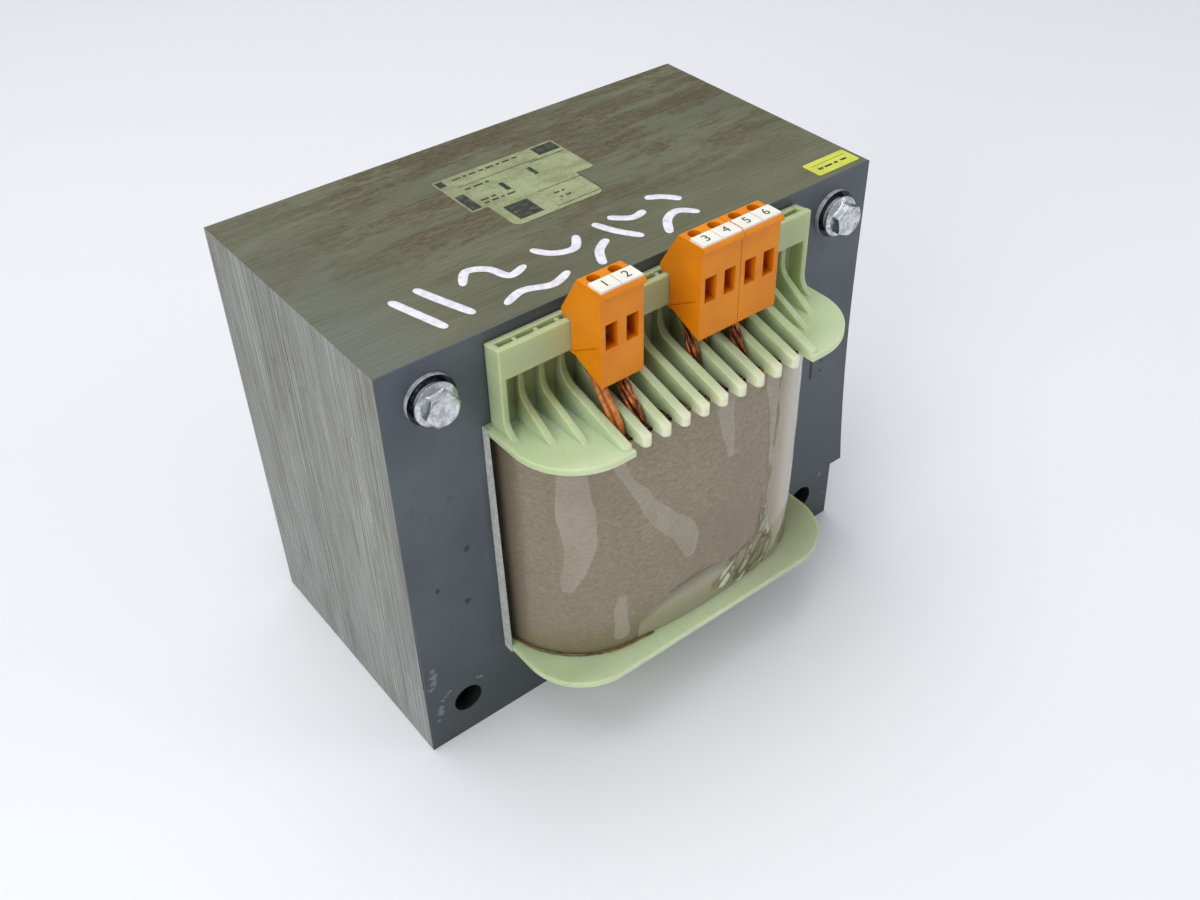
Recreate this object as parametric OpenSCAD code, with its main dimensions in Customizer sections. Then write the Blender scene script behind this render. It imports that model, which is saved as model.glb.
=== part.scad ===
// Chassis transformer on an EI lamination stack.
// X runs along the width of the core, Y through the stack and Z up. The front,
// where the terminals are, faces -Y. The origin is the middle of the underside.

/* [Core] */
// Overall width of a lamination
core_w = 192; // [186:1:200]
// Overall height of an E and an I together
core_h = 160; // [154:1:168]
// Thickness of the lamination stack
stack = 104; // [80:1:130]
// Width of the centre leg
centre_leg_w = 64; // [56:1:66]
// Width of each outer leg
outer_leg_w = 32; // [28:1:34]
// Height of the yoke of an E, and of an I
yoke_h = 32; // [28:1:36]
// Packets of alternating laminations behind the front sheet
packets = 8; // [2:2:12]
// Thickness of one sheet
sheet_t = 0.5; // [0.35:0.05:1]
// Air left where a leg butts on an I
butt_gap = 0.1; // [0.05:0.05:0.3]
// Diameter of the corner holes
bolt_hole_d = 11; // [9:0.5:13]
// Distance of each corner hole from both edges
hole_inset = 16; // [14:0.5:18]
// How far the left leg of the front sheet has sprung out
left_spring = 1; // [0.2:0.1:3]
// How far the right leg of the front sheet has sprung out
right_spring = 4.8; // [0.2:0.1:6]

/* [Bobbin] */
// Clearance between the bobbin and the core
core_fit = 0.5; // [0.3:0.1:1]
// Wall of the winding tube
tube_wall = 1.8; // [1.2:0.1:3]
// Thickness of both flanges
flange_t = 2.2; // [1.5:0.1:3]
// How far the flanges stand out of the core at front and back
flange_reach = 37; // [34:0.5:42]
// Radius of the flange corners
flange_r = 22; // [10:1:24]
// Distance between ribs of the comb
rib_pitch = 7.5; // [6.5:0.1:8.5]
// Thickness of a rib at the bottom of the rail
rib_t = 1.6; // [1:0.1:2.4]
// Width of a round-nosed finger at its foot, from which its rib tapers
finger_w = 3.4; // [2.8:0.1:4]
// Width of an ear rib at its foot
ear_rib_w = 2.4; // [1.8:0.1:3]
// How far the noses of the fingers stand out of the core
finger_reach = 36; // [33:0.5:38]
// Height of the ribs above the flange, at the root
rib_rise = 9.2; // [6:0.2:12]
// Radius where a rib turns up into the rail
rib_root_r = 6; // [3:0.5:8]
// Length of the terminal rail
rail_len = 122; // [110:1:124]
// Distance from the core to the front of the rail
rail_depth = 7.5; // [6.5:0.1:9]
// Height of the front wall of the rail
rail_h = 10.4; // [8:0.2:13]
// Height of the rail top above the flange
rail_rise = 29.7; // [26:0.1:34]
// Wall of the rail
rail_wall = 2; // [1.4:0.1:2.4]

/* [Windings] */
// Share of the winding space that the secondary takes, inside the primary
secondary_share = 0.5; // [0.35:0.01:0.65]
// Insulation between the windings
interleaf_t = 0.8; // [0.4:0.1:1.5]
// Thickness of the paper wrap
paper_t = 0.8; // [0.4:0.1:1.5]
// Thickness of the clear film over the paper
film_t = 0.3; // [0.2:0.05:0.6]
// Air between the wrapped coil and the slot liner
coil_air = 2.3; // [1:0.1:4]
// How far the coil bows out at front and back
coil_bow = 2.2; // [0.5:0.1:3]
// Growth of the corner radius for each millimetre of build
corner_growth = 1.18; // [0.9:0.01:1.25]
// Thickness of the slot liner
liner_t = 0.5; // [0.3:0.1:1]
// How far the liner stands out of the core at its top
liner_out_top = 2.6; // [0.5:0.1:5]
// How far the liner stands out of the core at its bottom
liner_out_bottom = 4.8; // [0.5:0.1:6]

/* [Terminals] */
// Distance between the two poles of a block
pole_pitch = 7.6; // [7:0.1:8]
// Width of a two-pole block
block_w = 15.6; // [15:0.1:17]
// Middle of the single block
left_block_x = -28.1; // [-40:0.1:-20]
// Middle of the pair of blocks
right_pair_x = 16.9; // [10:0.1:36]
// Air between the two blocks of the pair
block_gap = 0.2; // [0.1:0.1:1]
// Height of a block above the rail
block_rise = 15.3; // [13:0.1:20]
// Depth of a block below the top of the rail
block_drop = 16.7; // [15.5:0.1:19]
// How far a block stands in front of the rail
block_proud = 14; // [13:0.1:17]
// Width of a wire entry
entry_w = 4.5; // [4.2:0.1:5]
// Height of a wire entry
entry_h = 8.5; // [7:0.1:9]
// Diameter of a screw access hole
access_d = 4; // [3.8:0.1:5]
// Diameter of a clamp screw
screw_d = 3; // [2.5:0.1:3.4]
// Thickness of the walls of a clamp cage
cage_wall = 0.9; // [0.6:0.1:1.2]
// Thickness of a current bar
bar_t = 0.8; // [0.5:0.1:1]
// Thickness of a marker tag
tag_t = 0.8; // [0.4:0.1:1.5]
// Diameter of a winding lead
lead_d = 3.2; // [1.5:0.1:3.4]

/* [Core bolts] */
// Diameter of the bolts
bolt_d = 6; // [5:0.5:8]
// Length of a bolt under its head
bolt_len = 120; // [116:1:150]
// Width of a hexagon across its flats
hex_af = 10; // [9:0.5:12]
// Height of a bolt head, its flange included
head_h = 4.9; // [4:0.1:6.5]
// Diameter of the flange of a bolt head
flange_od = 14.2; // [14:0.1:16]
// Height of a nut
nut_h = 5; // [4:0.1:7]
// Outer diameter of a flat washer
washer_od = 16.4; // [16.2:0.1:18]
// Thickness of a flat washer
washer_t = 1.6; // [1:0.1:2.5]
// Outer diameter of a spring washer
spring_od = 11.8; // [11:0.1:14]
// Thickness of a spring washer
spring_t = 1.8; // [1.2:0.1:3]

/* [Labels] */
// Width of the wide part of the rating label
label_w = 49; // [40:1:60]
// Depth of the wide part of the rating label
label_d = 24.5; // [18:0.5:30]
// Width of the tab of the rating label
tab_w = 35.4; // [25:0.2:40]
// Depth of the tab of the rating label
tab_d = 15.8; // [10:0.2:20]
// Length of the inspection sticker
sticker_w = 19; // [14:0.5:24]
// Width of the inspection sticker
sticker_d = 8.5; // [6:0.5:12]
// Thickness of the label foil
foil_t = 0.15; // [0.1:0.05:0.4]

/* [Hidden] */
$fn = 64;

// Core
front_y = -stack / 2;
window_w = (core_w - centre_leg_w) / 2 - outer_leg_w;
window_top = core_h - yoke_h;
window_out_x = centre_leg_w / 2 + window_w;
hole_x = core_w / 2 - hole_inset;
packet_t = (stack - sheet_t) / packets;
spring_power = 2.3;
spring_steps = 12;

// Bobbin
liner_fit = 0.1;
flange_half_w = window_out_x - liner_t - 2 * liner_fit;
flange_half_d = stack / 2 + flange_reach;
lower_flange_z = yoke_h + core_fit;
upper_flange_z = window_top - core_fit - flange_t;
flange_top = upper_flange_z + flange_t;
tube_in_x = centre_leg_w / 2 + core_fit;
tube_in_y = stack / 2 + core_fit;
tube_r = 2;
rail_top = flange_top + rail_rise;
rail_bottom = rail_top - rail_h;
rail_floor = 1.5;
back_wall_drop = 0.7;
divider_drop = 1.2;
divider_t = 1.2;
side_wall_x = rail_len / 2 - rail_wall / 2;
side_flare = 6;
rib_root_set = 0.3;
rib_root = rail_depth - rail_wall - rib_root_set;
rib_foot = 1;
nose_r = finger_w / 2;
finger_rise = 1.4;
comb_half = 5;
last_rib = ceil(side_wall_x / rib_pitch) - 1;
comb_half_w = comb_half * rib_pitch - finger_w / 2;
slot_start = 4;
ear_rib_reach = [26, 20.4];

// Windings
layer_fit = 0.05;
flange_fit = 0.2;
coil_z = lower_flange_z + flange_t + flange_fit;
coil_top = upper_flange_z - flange_fit;
coil_build = window_out_x - tube_in_x - tube_wall - liner_t - 2 * liner_fit - coil_air;
film_in = coil_build - film_t;
paper_in = film_in - layer_fit - paper_t;
primary_out = paper_in - layer_fit;
secondary_build = secondary_share * (primary_out - interleaf_t - 2 * layer_fit);
interleaf_in = secondary_build + layer_fit;
primary_in = interleaf_in + interleaf_t + layer_fit;

// Terminal blocks, from the front and top of the rail
rail_fit = 0.1;
block_under = rail_bottom - rail_fit;
block_centres = [left_block_x, right_pair_x - (block_w + block_gap) / 2,
                 right_pair_x + (block_w + block_gap) / 2];
pole_centres = [for (x = block_centres) for (s = [-1, 1]) x + s * pole_pitch / 2];
block_top = rail_top + block_rise;
block_front = rail_depth + block_proud;
back_set = 3.7;
block_back_top = rail_depth + back_set;
brow_t = 1.3;
brow_h = 2;
brow_fall = 0.9;
brow_slope = 0.5;
brow_chamfer = 0.3;
brow_top_v = block_front + brow_t - brow_slope;
hook_tip = 3.2;
hook_rise = 2.1;
hook_chamfer = 0.4;
lip_t = 1.4;
lip_h = 1;
lip_w = 1.8;
lip_v = rail_depth + rail_fit + lip_w;
screw_set = 6.1;
screw_v = rail_depth + screw_set;
entry_rise = 4.5;
entry_depth = 4.9;
entry_top = rail_top + entry_rise;
cage_half_w = 2.6;
cage_fit = 0.3;
cage_set = 3.5;
cage_over = 0.2;
cage_under = 1.6;
cage_front = block_front - entry_depth;
cage_back = rail_depth + cage_set;
cage_top = entry_top + cage_over;
cage_bottom = entry_top - entry_h - cage_under;
bar_half_w = 1.3;
bar_fit = 0.1;
bar_gap = 2.2;
bar_end_set = 0.6;
bar_back = cage_back - cage_fit - bar_t;
bar_z = cage_top - cage_wall - bar_gap;
lug_drop = 6;
head_fit = 0.15;
head_d = access_d - 2 * head_fit;
screw_head_h = 2.2;
screw_slot_w = 0.8;
screw_slot_h = 0.9;
screw_head_z = cage_top + 2 * cage_fit;
cover_line_w = 0.3;
cover_line_set = 1.2;
cover_line_short = 2.8;
cover_slope = 31.8;
tag_d = 5.8;
tag_gap = 0.3;
tag_set = 0.6;

// Leads: how far out of the core each one leaves the coil
lead_exits = [for (share = [0.975, 0.956, 0.675, 0.487, 0.825, 0.487]) share * coil_build];
lead_drop = 3;
lead_lean = 0.3;
lead_over_flange = 0.6;
lead_fit = 0.15;
lead_end_gap = 0.35;
lug_v = bar_back + bar_t + lead_d / 2 + lead_fit;
under_slope = (block_under - lip_h - rail_top + block_drop) / (block_front - lip_v);
lead_top = block_under - lip_h - under_slope * (lug_v + lead_d / 2 - lip_v) - 2 * lead_fit;
lead_sides = 10;
lead_steps = 4;

// Core bolts, which lie against the top of their holes
hole_touch = 0.1;
bolt_z = core_h - hole_inset + (bolt_hole_d - bolt_d) / 2 - hole_touch;
bore_play = 0.05;
washer_fit = 0.2;
washer_id = bolt_d + 2 * washer_fit;
head_y = front_y - washer_t - spring_t;
corner_break = 0.3;
head_turns = [-7, 22];
flange_rim = 0.6;
flange_cone = 0.7;
flange_neck = 1.4;
spring_split = 1.6;

// Labels, from the middle of the top
label_x = -1.5;
label_y = 16.9;
tab_x = -2.3;
tab_r = 3;
sticker_set_x = 11;
sticker_set_y = 7.2;
sticker_x = core_w / 2 - sticker_set_x;
sticker_y = front_y + sticker_set_y;
foil_r = 0.8;

// ---- Helpers ----

// Y of a point that lies v in front of the core
function out(v) = front_y - v;

// Draws a flat XZ outline as a plate from y to y + t
module plate(y, t) {
  translate([0, y + t, 0]) rotate([90, 0, 0]) linear_extrude(t) children();
}

// Draws a flat YZ outline as a web from x to x + t
module web(x, t) {
  translate([x, 0, 0]) rotate([90, 0, 90]) linear_extrude(t) children();
}

// Stands a part that is drawn along Z on each core bolt, growing towards +Y
module on_bolts(y) {
  for (i = [0, 1])
    translate([(2 * i - 1) * hole_x, y, bolt_z]) rotate([-90, head_turns[i], 0]) children();
}

module upside_down() {
  translate([0, 0, core_h]) mirror([0, 0, 1]) children();
}

module round_rect(w, d, r) {
  square([w - 2 * r, d], center = true);
  square([w, d - 2 * r], center = true);
  for (x = [-1, 1], y = [-1, 1])
    translate([x * (w / 2 - r), y * (d / 2 - r)]) circle(r);
}

// ---- Core ----

module corner_holes() {
  for (s = [-1, 1]) translate([s * hole_x, hole_inset]) circle(d = bolt_hole_d);
}

// I lamination, lying along the bottom
module i_outline() {
  difference() {
    translate([-core_w / 2, 0]) square([core_w, yoke_h]);
    corner_holes();
  }
}

module e_yoke_outline() {
  difference() {
    translate([-core_w / 2, window_top]) square([core_w, yoke_h]);
    translate([0, core_h - 2 * hole_inset]) corner_holes();
  }
}

// One leg, from x to x + w, cut to butt on the I
module leg_outline(x, w) {
  translate([x, yoke_h + butt_gap]) square([w, window_top - yoke_h - butt_gap]);
}

// E lamination with its yoke at the top
module e_outline() {
  e_yoke_outline();
  leg_outline(-centre_leg_w / 2, centre_leg_w);
  leg_outline(-core_w / 2, outer_leg_w);
  leg_outline(core_w / 2 - outer_leg_w, outer_leg_w);
}

// Packets of the stack, every second one starting with the packet given
module packet_stack(first) {
  for (i = [first:2:packets - 1])
    plate(front_y + sheet_t + i * packet_t, packet_t) children();
}

module e_laminations_upright() {
  color("#6b7068") packet_stack(0) e_outline();
}

module e_laminations_inverted() {
  color("#666b63") upside_down() packet_stack(1) e_outline();
}

module i_laminations_lower() {
  color("#6b7068") packet_stack(0) i_outline();
}

module i_laminations_upper() {
  color("#666b63") upside_down() packet_stack(1) i_outline();
}

// Side view of a leg that has sprung out by d at its free end
function leg_bend(d, z) = d * pow((window_top - z) / (window_top - yoke_h), spring_power);
function leg_side(d, y) = [for (i = [0:spring_steps])
  let (z = window_top + (yoke_h + butt_gap - window_top) * i / spring_steps)
  [y - leg_bend(d, z), z]];

module sprung_leg(x, d) {
  front = leg_side(d, front_y);
  back = leg_side(d, front_y + sheet_t);
  root = window_top + yoke_h / 8;
  web(x, outer_leg_w)
    polygon(concat([[front_y + sheet_t, root], [front_y, root]], front,
                   [for (i = [spring_steps:-1:0]) back[i]]));
}

// The front sheet, whose outer legs have sprung away from the stack
module front_e_lamination() {
  color("#555c63") union() {
    plate(front_y, sheet_t) {
      e_yoke_outline();
      leg_outline(-centre_leg_w / 2, centre_leg_w);
    }
    sprung_leg(-core_w / 2, left_spring);
    sprung_leg(core_w / 2 - outer_leg_w, right_spring);
  }
}

module front_i_lamination() {
  color("#555c63") plate(front_y, sheet_t) i_outline();
}

// ---- Bobbin ----

module tube_bore() {
  square([2 * tube_in_x, 2 * tube_in_y], center = true);
}

module flange(z) {
  translate([0, 0, z]) linear_extrude(flange_t) difference() {
    round_rect(2 * flange_half_w, 2 * flange_half_d, flange_r);
    tube_bore();
  }
}

module winding_tube() {
  translate([0, 0, lower_flange_z])
    linear_extrude(upper_flange_z + flange_t - lower_flange_z) difference() {
      round_rect(2 * (tube_in_x + tube_wall), 2 * (tube_in_y + tube_wall), tube_r);
      tube_bore();
    }
}

// Side view of a rib: upright at the rail, then a hollow curve into a slope
// that meets the height tip_z at the distance reach
function rib_side(reach, tip_z) =
  let (root_z = flange_top + rib_rise,
       angle = atan((root_z - tip_z) / (reach - rib_root)),
       line_z = root_z - rib_root_r * tan(angle),
       arc_z = line_z + rib_root_r / cos(angle))
  concat([[out(rib_foot), upper_flange_z], [out(rib_foot), rail_bottom + rail_floor],
          [out(rib_root), rail_bottom + rail_floor]],
         [for (i = [0:6]) let (a = 180 + (90 - angle) * i / 6)
           [out(rib_root + rib_root_r + rib_root_r * cos(a)),
            arc_z + rib_root_r * sin(a)]],
         [[out(reach), tip_z], [out(reach), upper_flange_z]]);

// Front view of a rib: foot_w wide at the flange and rib_t at the rail
module tapered(x, foot_w) {
  plate(out(finger_reach), finger_reach)
    polygon([[x - foot_w / 2, upper_flange_z], [x + foot_w / 2, upper_flange_z],
             [x + rib_t / 2, rail_bottom], [x + rib_t / 2, rail_top],
             [x - rib_t / 2, rail_top], [x - rib_t / 2, rail_bottom]]);
}

module ear_rib(x, reach) {
  intersection() {
    web(x - ear_rib_w / 2, ear_rib_w) polygon(rib_side(reach, flange_top));
    tapered(x, ear_rib_w);
  }
}

// Side view of a finger and its rib, rounded over at the nose
module tooth_side() {
  nose_z = flange_top + finger_rise - nose_r;
  polygon(rib_side(finger_reach - nose_r, flange_top + finger_rise));
  translate([out(finger_reach - nose_r), nose_z]) circle(nose_r, $fn = 32);
  translate([out(finger_reach), upper_flange_z])
    square([nose_r, nose_z - upper_flange_z]);
}

// One tooth of the comb: a tapered blade whose nose is round from above and from the side
module comb_tooth(x) {
  intersection() {
    web(x - finger_w / 2, finger_w) tooth_side();
    tapered(x, finger_w);
    translate([x, 0, upper_flange_z]) linear_extrude(rail_h + rib_rise + rail_rise) union() {
      translate([0, out(finger_reach - nose_r)]) circle(nose_r, $fn = 32);
      translate([-nose_r, out(finger_reach - nose_r)]) square([finger_w, finger_reach - nose_r]);
    }
  }
}

// End wall of the rail, which flares forward where it meets the flange
module rail_end(s) {
  arc_z = flange_top + side_flare;
  web(s * side_wall_x - rail_wall / 2, rail_wall)
    polygon(concat([[out(core_fit), upper_flange_z], [out(core_fit), rail_top - back_wall_drop],
                    [out(rail_wall), rail_top - back_wall_drop], [out(rail_depth), rail_top]],
                   [for (i = [0:6]) let (a = 180 + 90 * i / 6)
                     [out(rail_depth + side_flare + side_flare * cos(a)),
                      arc_z + side_flare * sin(a)]],
                   [[out(rail_depth + side_flare), upper_flange_z]]));
}

// Open-topped trough, divided at every rib, on which the blocks hang
module terminal_rail() {
  half = rail_len / 2;
  translate([-half, out(core_fit + rail_wall), upper_flange_z])
    cube([rail_len, rail_wall, rail_top - back_wall_drop - upper_flange_z]);
  translate([-half, out(rail_depth), rail_bottom]) cube([rail_len, rail_wall, rail_h]);
  translate([-half, out(rail_depth), rail_bottom])
    cube([rail_len, rail_depth - core_fit, rail_floor]);
  for (i = [-last_rib:last_rib])
    translate([i * rib_pitch - divider_t / 2, out(rail_depth - rail_wall / 2), rail_bottom])
      cube([divider_t, rail_depth - rail_wall - core_fit, rail_h - divider_drop]);
  for (s = [-1, 1]) rail_end(s);
}

// One moulding: tube, two flanges, comb and rail
module bobbin() {
  color("#c6d6a8") union() {
    winding_tube();
    flange(lower_flange_z);
    difference() {
      flange(upper_flange_z);
      translate([-comb_half_w, out(flange_reach + 1), upper_flange_z - 1])
        cube([2 * comb_half_w, flange_reach + 1 - slot_start, flange_t + 2]);
    }
    for (i = [-comb_half:comb_half]) comb_tooth(i * rib_pitch);
    for (i = [comb_half + 1:last_rib], s = [-1, 1])
      ear_rib(s * i * rib_pitch, ear_rib_reach[min(i - comb_half - 1, 1)]);
    terminal_rail();
  }
}

// ---- Windings ----

// Outline of the coil at a given build on the tube
module coil_outline(build) {
  half_x = tube_in_x + tube_wall + build;
  half_y = tube_in_y + tube_wall + build;
  r = tube_r + corner_growth * build;
  bow = coil_bow * build / coil_build;
  chord = half_x - r;
  bow_r = (chord * chord + bow * bow) / (2 * bow);
  round_rect(2 * half_x, 2 * half_y, r);
  for (s = [-1, 1]) intersection() {
    translate([0, s * (half_y + bow - bow_r)]) circle(bow_r, $fn = 180);
    translate([0, s * (half_y + bow / 2 - 1)]) square([2 * chord, bow + 2], center = true);
  }
}

module coil_layer(inner, outer) {
  translate([0, 0, coil_z]) linear_extrude(coil_top - coil_z) difference() {
    coil_outline(outer);
    if (inner > 0) coil_outline(inner);
    else round_rect(2 * (tube_in_x + tube_wall + layer_fit),
                    2 * (tube_in_y + tube_wall + layer_fit), tube_r);
  }
}

module secondary_winding() {
  color("#9c5a2a") coil_layer(0, secondary_build);
}

module interwinding_insulation() {
  color("#d8cfb0") coil_layer(interleaf_in, interleaf_in + interleaf_t);
}

module primary_winding() {
  color("#a8642f") coil_layer(primary_in, primary_out);
}

module paper_wrap() {
  color("#a3957f") coil_layer(paper_in, paper_in + paper_t);
}

module film_wrap() {
  color("#d9d2bf", 0.35) coil_layer(film_in, film_in + film_t);
}

// Insulating sheets between the coil and the outer legs
module slot_liners() {
  top = window_top - core_fit / 2;
  bottom = yoke_h + core_fit / 2;
  color("#b9bbb6") for (s = [-1, 1])
    web(s * (window_out_x - liner_fit - liner_t / 2) - liner_t / 2, liner_t)
      polygon([[out(liner_out_bottom), bottom], [out(liner_out_top), top],
               [-out(liner_out_top), top], [-out(liner_out_bottom), bottom]]);
}

// ---- Terminal blocks ----

// Side view of a block: it hooks over the rail and clips under it
module block_side() {
  back = rail_depth + rail_fit;
  behind = rail_depth - rail_wall - rail_fit;
  polygon([
    [out(block_back_top), block_top],
    [out(brow_top_v), block_top],
    [out(brow_top_v + brow_slope), block_top - brow_fall],
    [out(brow_top_v + brow_slope), block_top - brow_h + brow_chamfer],
    [out(block_front), block_top - brow_h - brow_chamfer],
    [out(block_front), rail_top - block_drop],
    [out(lip_v), block_under - lip_h],
    [out(back - lip_t), block_under - lip_h],
    [out(back - lip_t), block_under],
    [out(back), block_under],
    [out(back), rail_top + rail_fit],
    [out(behind), rail_top + rail_fit],
    [out(behind), rail_top - divider_drop + rail_fit],
    [out(behind - lip_t), rail_top - divider_drop + hook_chamfer],
    [out(hook_tip), rail_top + hook_rise]
  ]);
}

// Hollows of one pole: screw hole, wire entry, room for the cage, slot for the lug
module pole_hollows(x) {
  cage_room = cage_half_w + cage_fit;
  translate([x, out(screw_v), cage_top]) cylinder(d = access_d, h = block_top);
  translate([x - entry_w / 2, out(block_front + 1), entry_top - entry_h])
    cube([entry_w, block_front + 1 - cage_front, entry_h]);
  translate([x - cage_room, out(cage_front + cage_fit), cage_bottom - cage_fit])
    cube([2 * cage_room, cage_front + cage_fit - bar_back + bar_fit,
          cage_top - cage_bottom + 2 * cage_fit]);
  translate([x - bar_half_w - bar_fit, out(bar_back + bar_t + bar_fit), rail_top - block_drop])
    cube([2 * (bar_half_w + bar_fit), bar_t + 2 * bar_fit, cage_bottom - rail_top + block_drop]);
}

// Fine line on both cheeks where the lower cover is let in
module cover_line() {
  run = (block_front - rail_depth - cover_line_short) / cos(cover_slope);
  for (s = [-1, 1])
    translate([s * block_w / 2, out(rail_depth + cover_line_set), rail_bottom])
      rotate([-cover_slope, 0, 0])
        translate([-cover_line_w, -run, 0])
          cube([2 * cover_line_w, run, cover_line_w]);
}

module terminal_block(x) {
  color("#f08b1d") translate([x, 0, 0]) difference() {
    web(-block_w / 2, block_w) block_side();
    for (s = [-1, 1]) pole_hollows(s * pole_pitch / 2);
    cover_line();
  }
}

module terminal_block_left() { terminal_block(block_centres[0]); }
module terminal_block_middle() { terminal_block(block_centres[1]); }
module terminal_block_right() { terminal_block(block_centres[2]); }

// Square steel frames that rise and clamp the wire
module clamp_cages() {
  depth = cage_front - cage_back;
  inner = 2 * (cage_half_w - cage_wall);
  color("#c9ccd0") for (x = pole_centres) difference() {
    translate([x - cage_half_w, out(cage_front), cage_bottom])
      cube([2 * cage_half_w, depth, cage_top - cage_bottom]);
    translate([x - inner / 2, out(cage_front + 1), cage_bottom + cage_wall])
      cube([inner, depth + 2, cage_top - cage_bottom - 2 * cage_wall]);
    translate([x, out(screw_v), cage_bottom + 2 * cage_wall])
      cylinder(d = screw_d + 2 * bore_play, h = cage_top);
  }
}

// Slotted clamp screws, at the foot of the access holes
module clamp_screws() {
  tip = bar_z + bar_t + bar_fit;
  color("#d2d4d6") for (x = pole_centres) translate([x, out(screw_v), 0]) {
    translate([0, 0, tip]) cylinder(d = screw_d, h = screw_head_z - tip);
    difference() {
      translate([0, 0, screw_head_z]) cylinder(d = head_d, h = screw_head_h);
      translate([-head_d, -screw_slot_w / 2, screw_head_z + screw_head_h - screw_slot_h])
        cube([2 * head_d, screw_slot_w, screw_head_h]);
    }
  }
}

// Bent strips: one arm under the screw, the other down to the solder lug
module current_bars() {
  color("#c8b27a") for (x = pole_centres) {
    translate([x - bar_half_w, out(cage_front - bar_end_set), bar_z])
      cube([2 * bar_half_w, cage_front - bar_end_set - bar_back, bar_t]);
    translate([x - bar_half_w, out(bar_back + bar_t), rail_bottom - lug_drop])
      cube([2 * bar_half_w, bar_t, bar_z + bar_t - rail_bottom + lug_drop]);
  }
}

// White tags in front of the access holes
module marker_tags() {
  color("#f3f1ea") for (x = pole_centres)
    translate([x - (pole_pitch - tag_gap) / 2, out(brow_top_v - tag_set), block_top])
      cube([pole_pitch - tag_gap, tag_d, tag_t]);
}

// ---- Leads ----

// Middle of the gap between the two ribs on either side of x
function gap_centre(x) = rib_pitch * (floor(x / rib_pitch) + 0.5);

// From the lug down into the comb and through the flange to the coil
function lead_route(x, exit) =
  let (gap = gap_centre(x))
  [[x, out(lug_v), lead_top],
   [x, out(lug_v + lead_lean), lead_top - lead_drop],
   [(x + gap) / 2, out(lug_v + (exit - lug_v) * 0.3), flange_top + rib_rise],
   [gap, out(lug_v + (exit - lug_v) * 0.75), flange_top + rib_rise * 0.5],
   [gap, out(exit), flange_top + lead_over_flange],
   [gap, out(exit), coil_top + lead_end_gap]];

function spline(p, q, r, s, t) =
  0.5 * ((2 * q) + (r - p) * t + (2 * p - 5 * q + 4 * r - s) * t * t
         + (3 * q - p - 3 * r + s) * t * t * t);

function smooth(route) = concat(
  [for (i = [0:len(route) - 2], k = [0:lead_steps - 1])
    spline(route[max(i - 1, 0)], route[i], route[i + 1],
           route[min(i + 2, len(route) - 1)], k / lead_steps)],
  [route[len(route) - 1]]);

function unit(v) = v / norm(v);

// Ring of points round point i of a path that runs mostly in a YZ plane
function ring(path, i) =
  let (a = path[max(i - 1, 0)], b = path[min(i + 1, len(path) - 1)],
       along = unit(b - a), side = unit(cross(along, [1, 0, 0])), up = cross(side, along))
  [for (k = [0:lead_sides - 1]) let (w = 360 * k / lead_sides)
    path[i] + lead_d / 2 * (cos(w) * side + sin(w) * up)];

module lead(route) {
  path = smooth(route);
  last = len(path) - 1;
  polyhedron(
    [for (i = [0:last]) each ring(path, i)],
    concat([[for (k = [0:lead_sides - 1]) k]],
           [[for (k = [lead_sides - 1:-1:0]) last * lead_sides + k]],
           [for (i = [0:last - 1], k = [0:lead_sides - 1])
             let (a = i * lead_sides, n = (k + 1) % lead_sides)
             [a + k, a + lead_sides + k, a + lead_sides + n, a + n]]));
}

module leads(first, last) {
  for (i = [first:last]) lead(lead_route(pole_centres[i], lead_exits[i]));
}

module secondary_leads() {
  color("#b5602a") leads(0, 1);
}

module primary_leads() {
  color("#8a3b1e") leads(2, 5);
}

// ---- Core bolts ----

module hexagon(h) {
  cylinder(d = hex_af / cos(30), h = h, $fn = 6);
}

// Cone that breaks the corners of a hexagon at its far end
module corner_cone(h) {
  top_d = hex_af - 2 * corner_break;
  cylinder(d1 = top_d + 2 * h / tan(30), d2 = top_d, h = h);
}

module core_bolts() {
  color("#c3c6c9") on_bolts(head_y) {
    cylinder(d = bolt_d, h = bolt_len);
    mirror([0, 0, 1]) {
      cylinder(d = flange_od, h = flange_rim);
      translate([0, 0, flange_rim])
        cylinder(d1 = flange_od, d2 = flange_od - 2 * flange_neck, h = flange_cone);
      intersection() {
        hexagon(head_h);
        corner_cone(head_h);
      }
    }
  }
}

module washer(t) {
  difference() {
    cylinder(d = washer_od, h = t);
    translate([0, 0, -1]) cylinder(d = washer_id, h = t + 2);
  }
}

module front_washers() {
  color("#cfd2d4") on_bolts(front_y - washer_t) washer(washer_t);
}

module rear_washers() {
  color("#cfd2d4") on_bolts(-front_y) washer(washer_t);
}

// Split washers, pressed flat under the heads
module spring_washers() {
  color("#b4b7ba") on_bolts(head_y) difference() {
    cylinder(d = spring_od, h = spring_t);
    translate([0, 0, -1]) cylinder(d = washer_id, h = spring_t + 2);
    rotate([0, 0, 70]) translate([0, -spring_split / 2, -1])
      cube([spring_od, spring_split, spring_t + 2]);
  }
}

module core_nuts() {
  color("#c3c6c9") on_bolts(-front_y + washer_t) difference() {
    intersection() {
      hexagon(nut_h);
      corner_cone(nut_h);
      translate([0, 0, nut_h]) mirror([0, 0, 1]) corner_cone(nut_h);
    }
    translate([0, 0, -1]) cylinder(d = bolt_d + 2 * bore_play, h = nut_h + 2);
  }
}

// ---- Labels ----

// T-shaped foil: a wide field with a narrower tab in front of it
module rating_label() {
  color("#c4c383") translate([0, 0, core_h]) linear_extrude(foil_t) union() {
    translate([label_x, label_y]) round_rect(label_w, label_d, foil_r);
    translate([tab_x, label_y - label_d / 2 - tab_d / 2 + tab_r])
      round_rect(tab_w, tab_d + 2 * tab_r, tab_r);
  }
}

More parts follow.
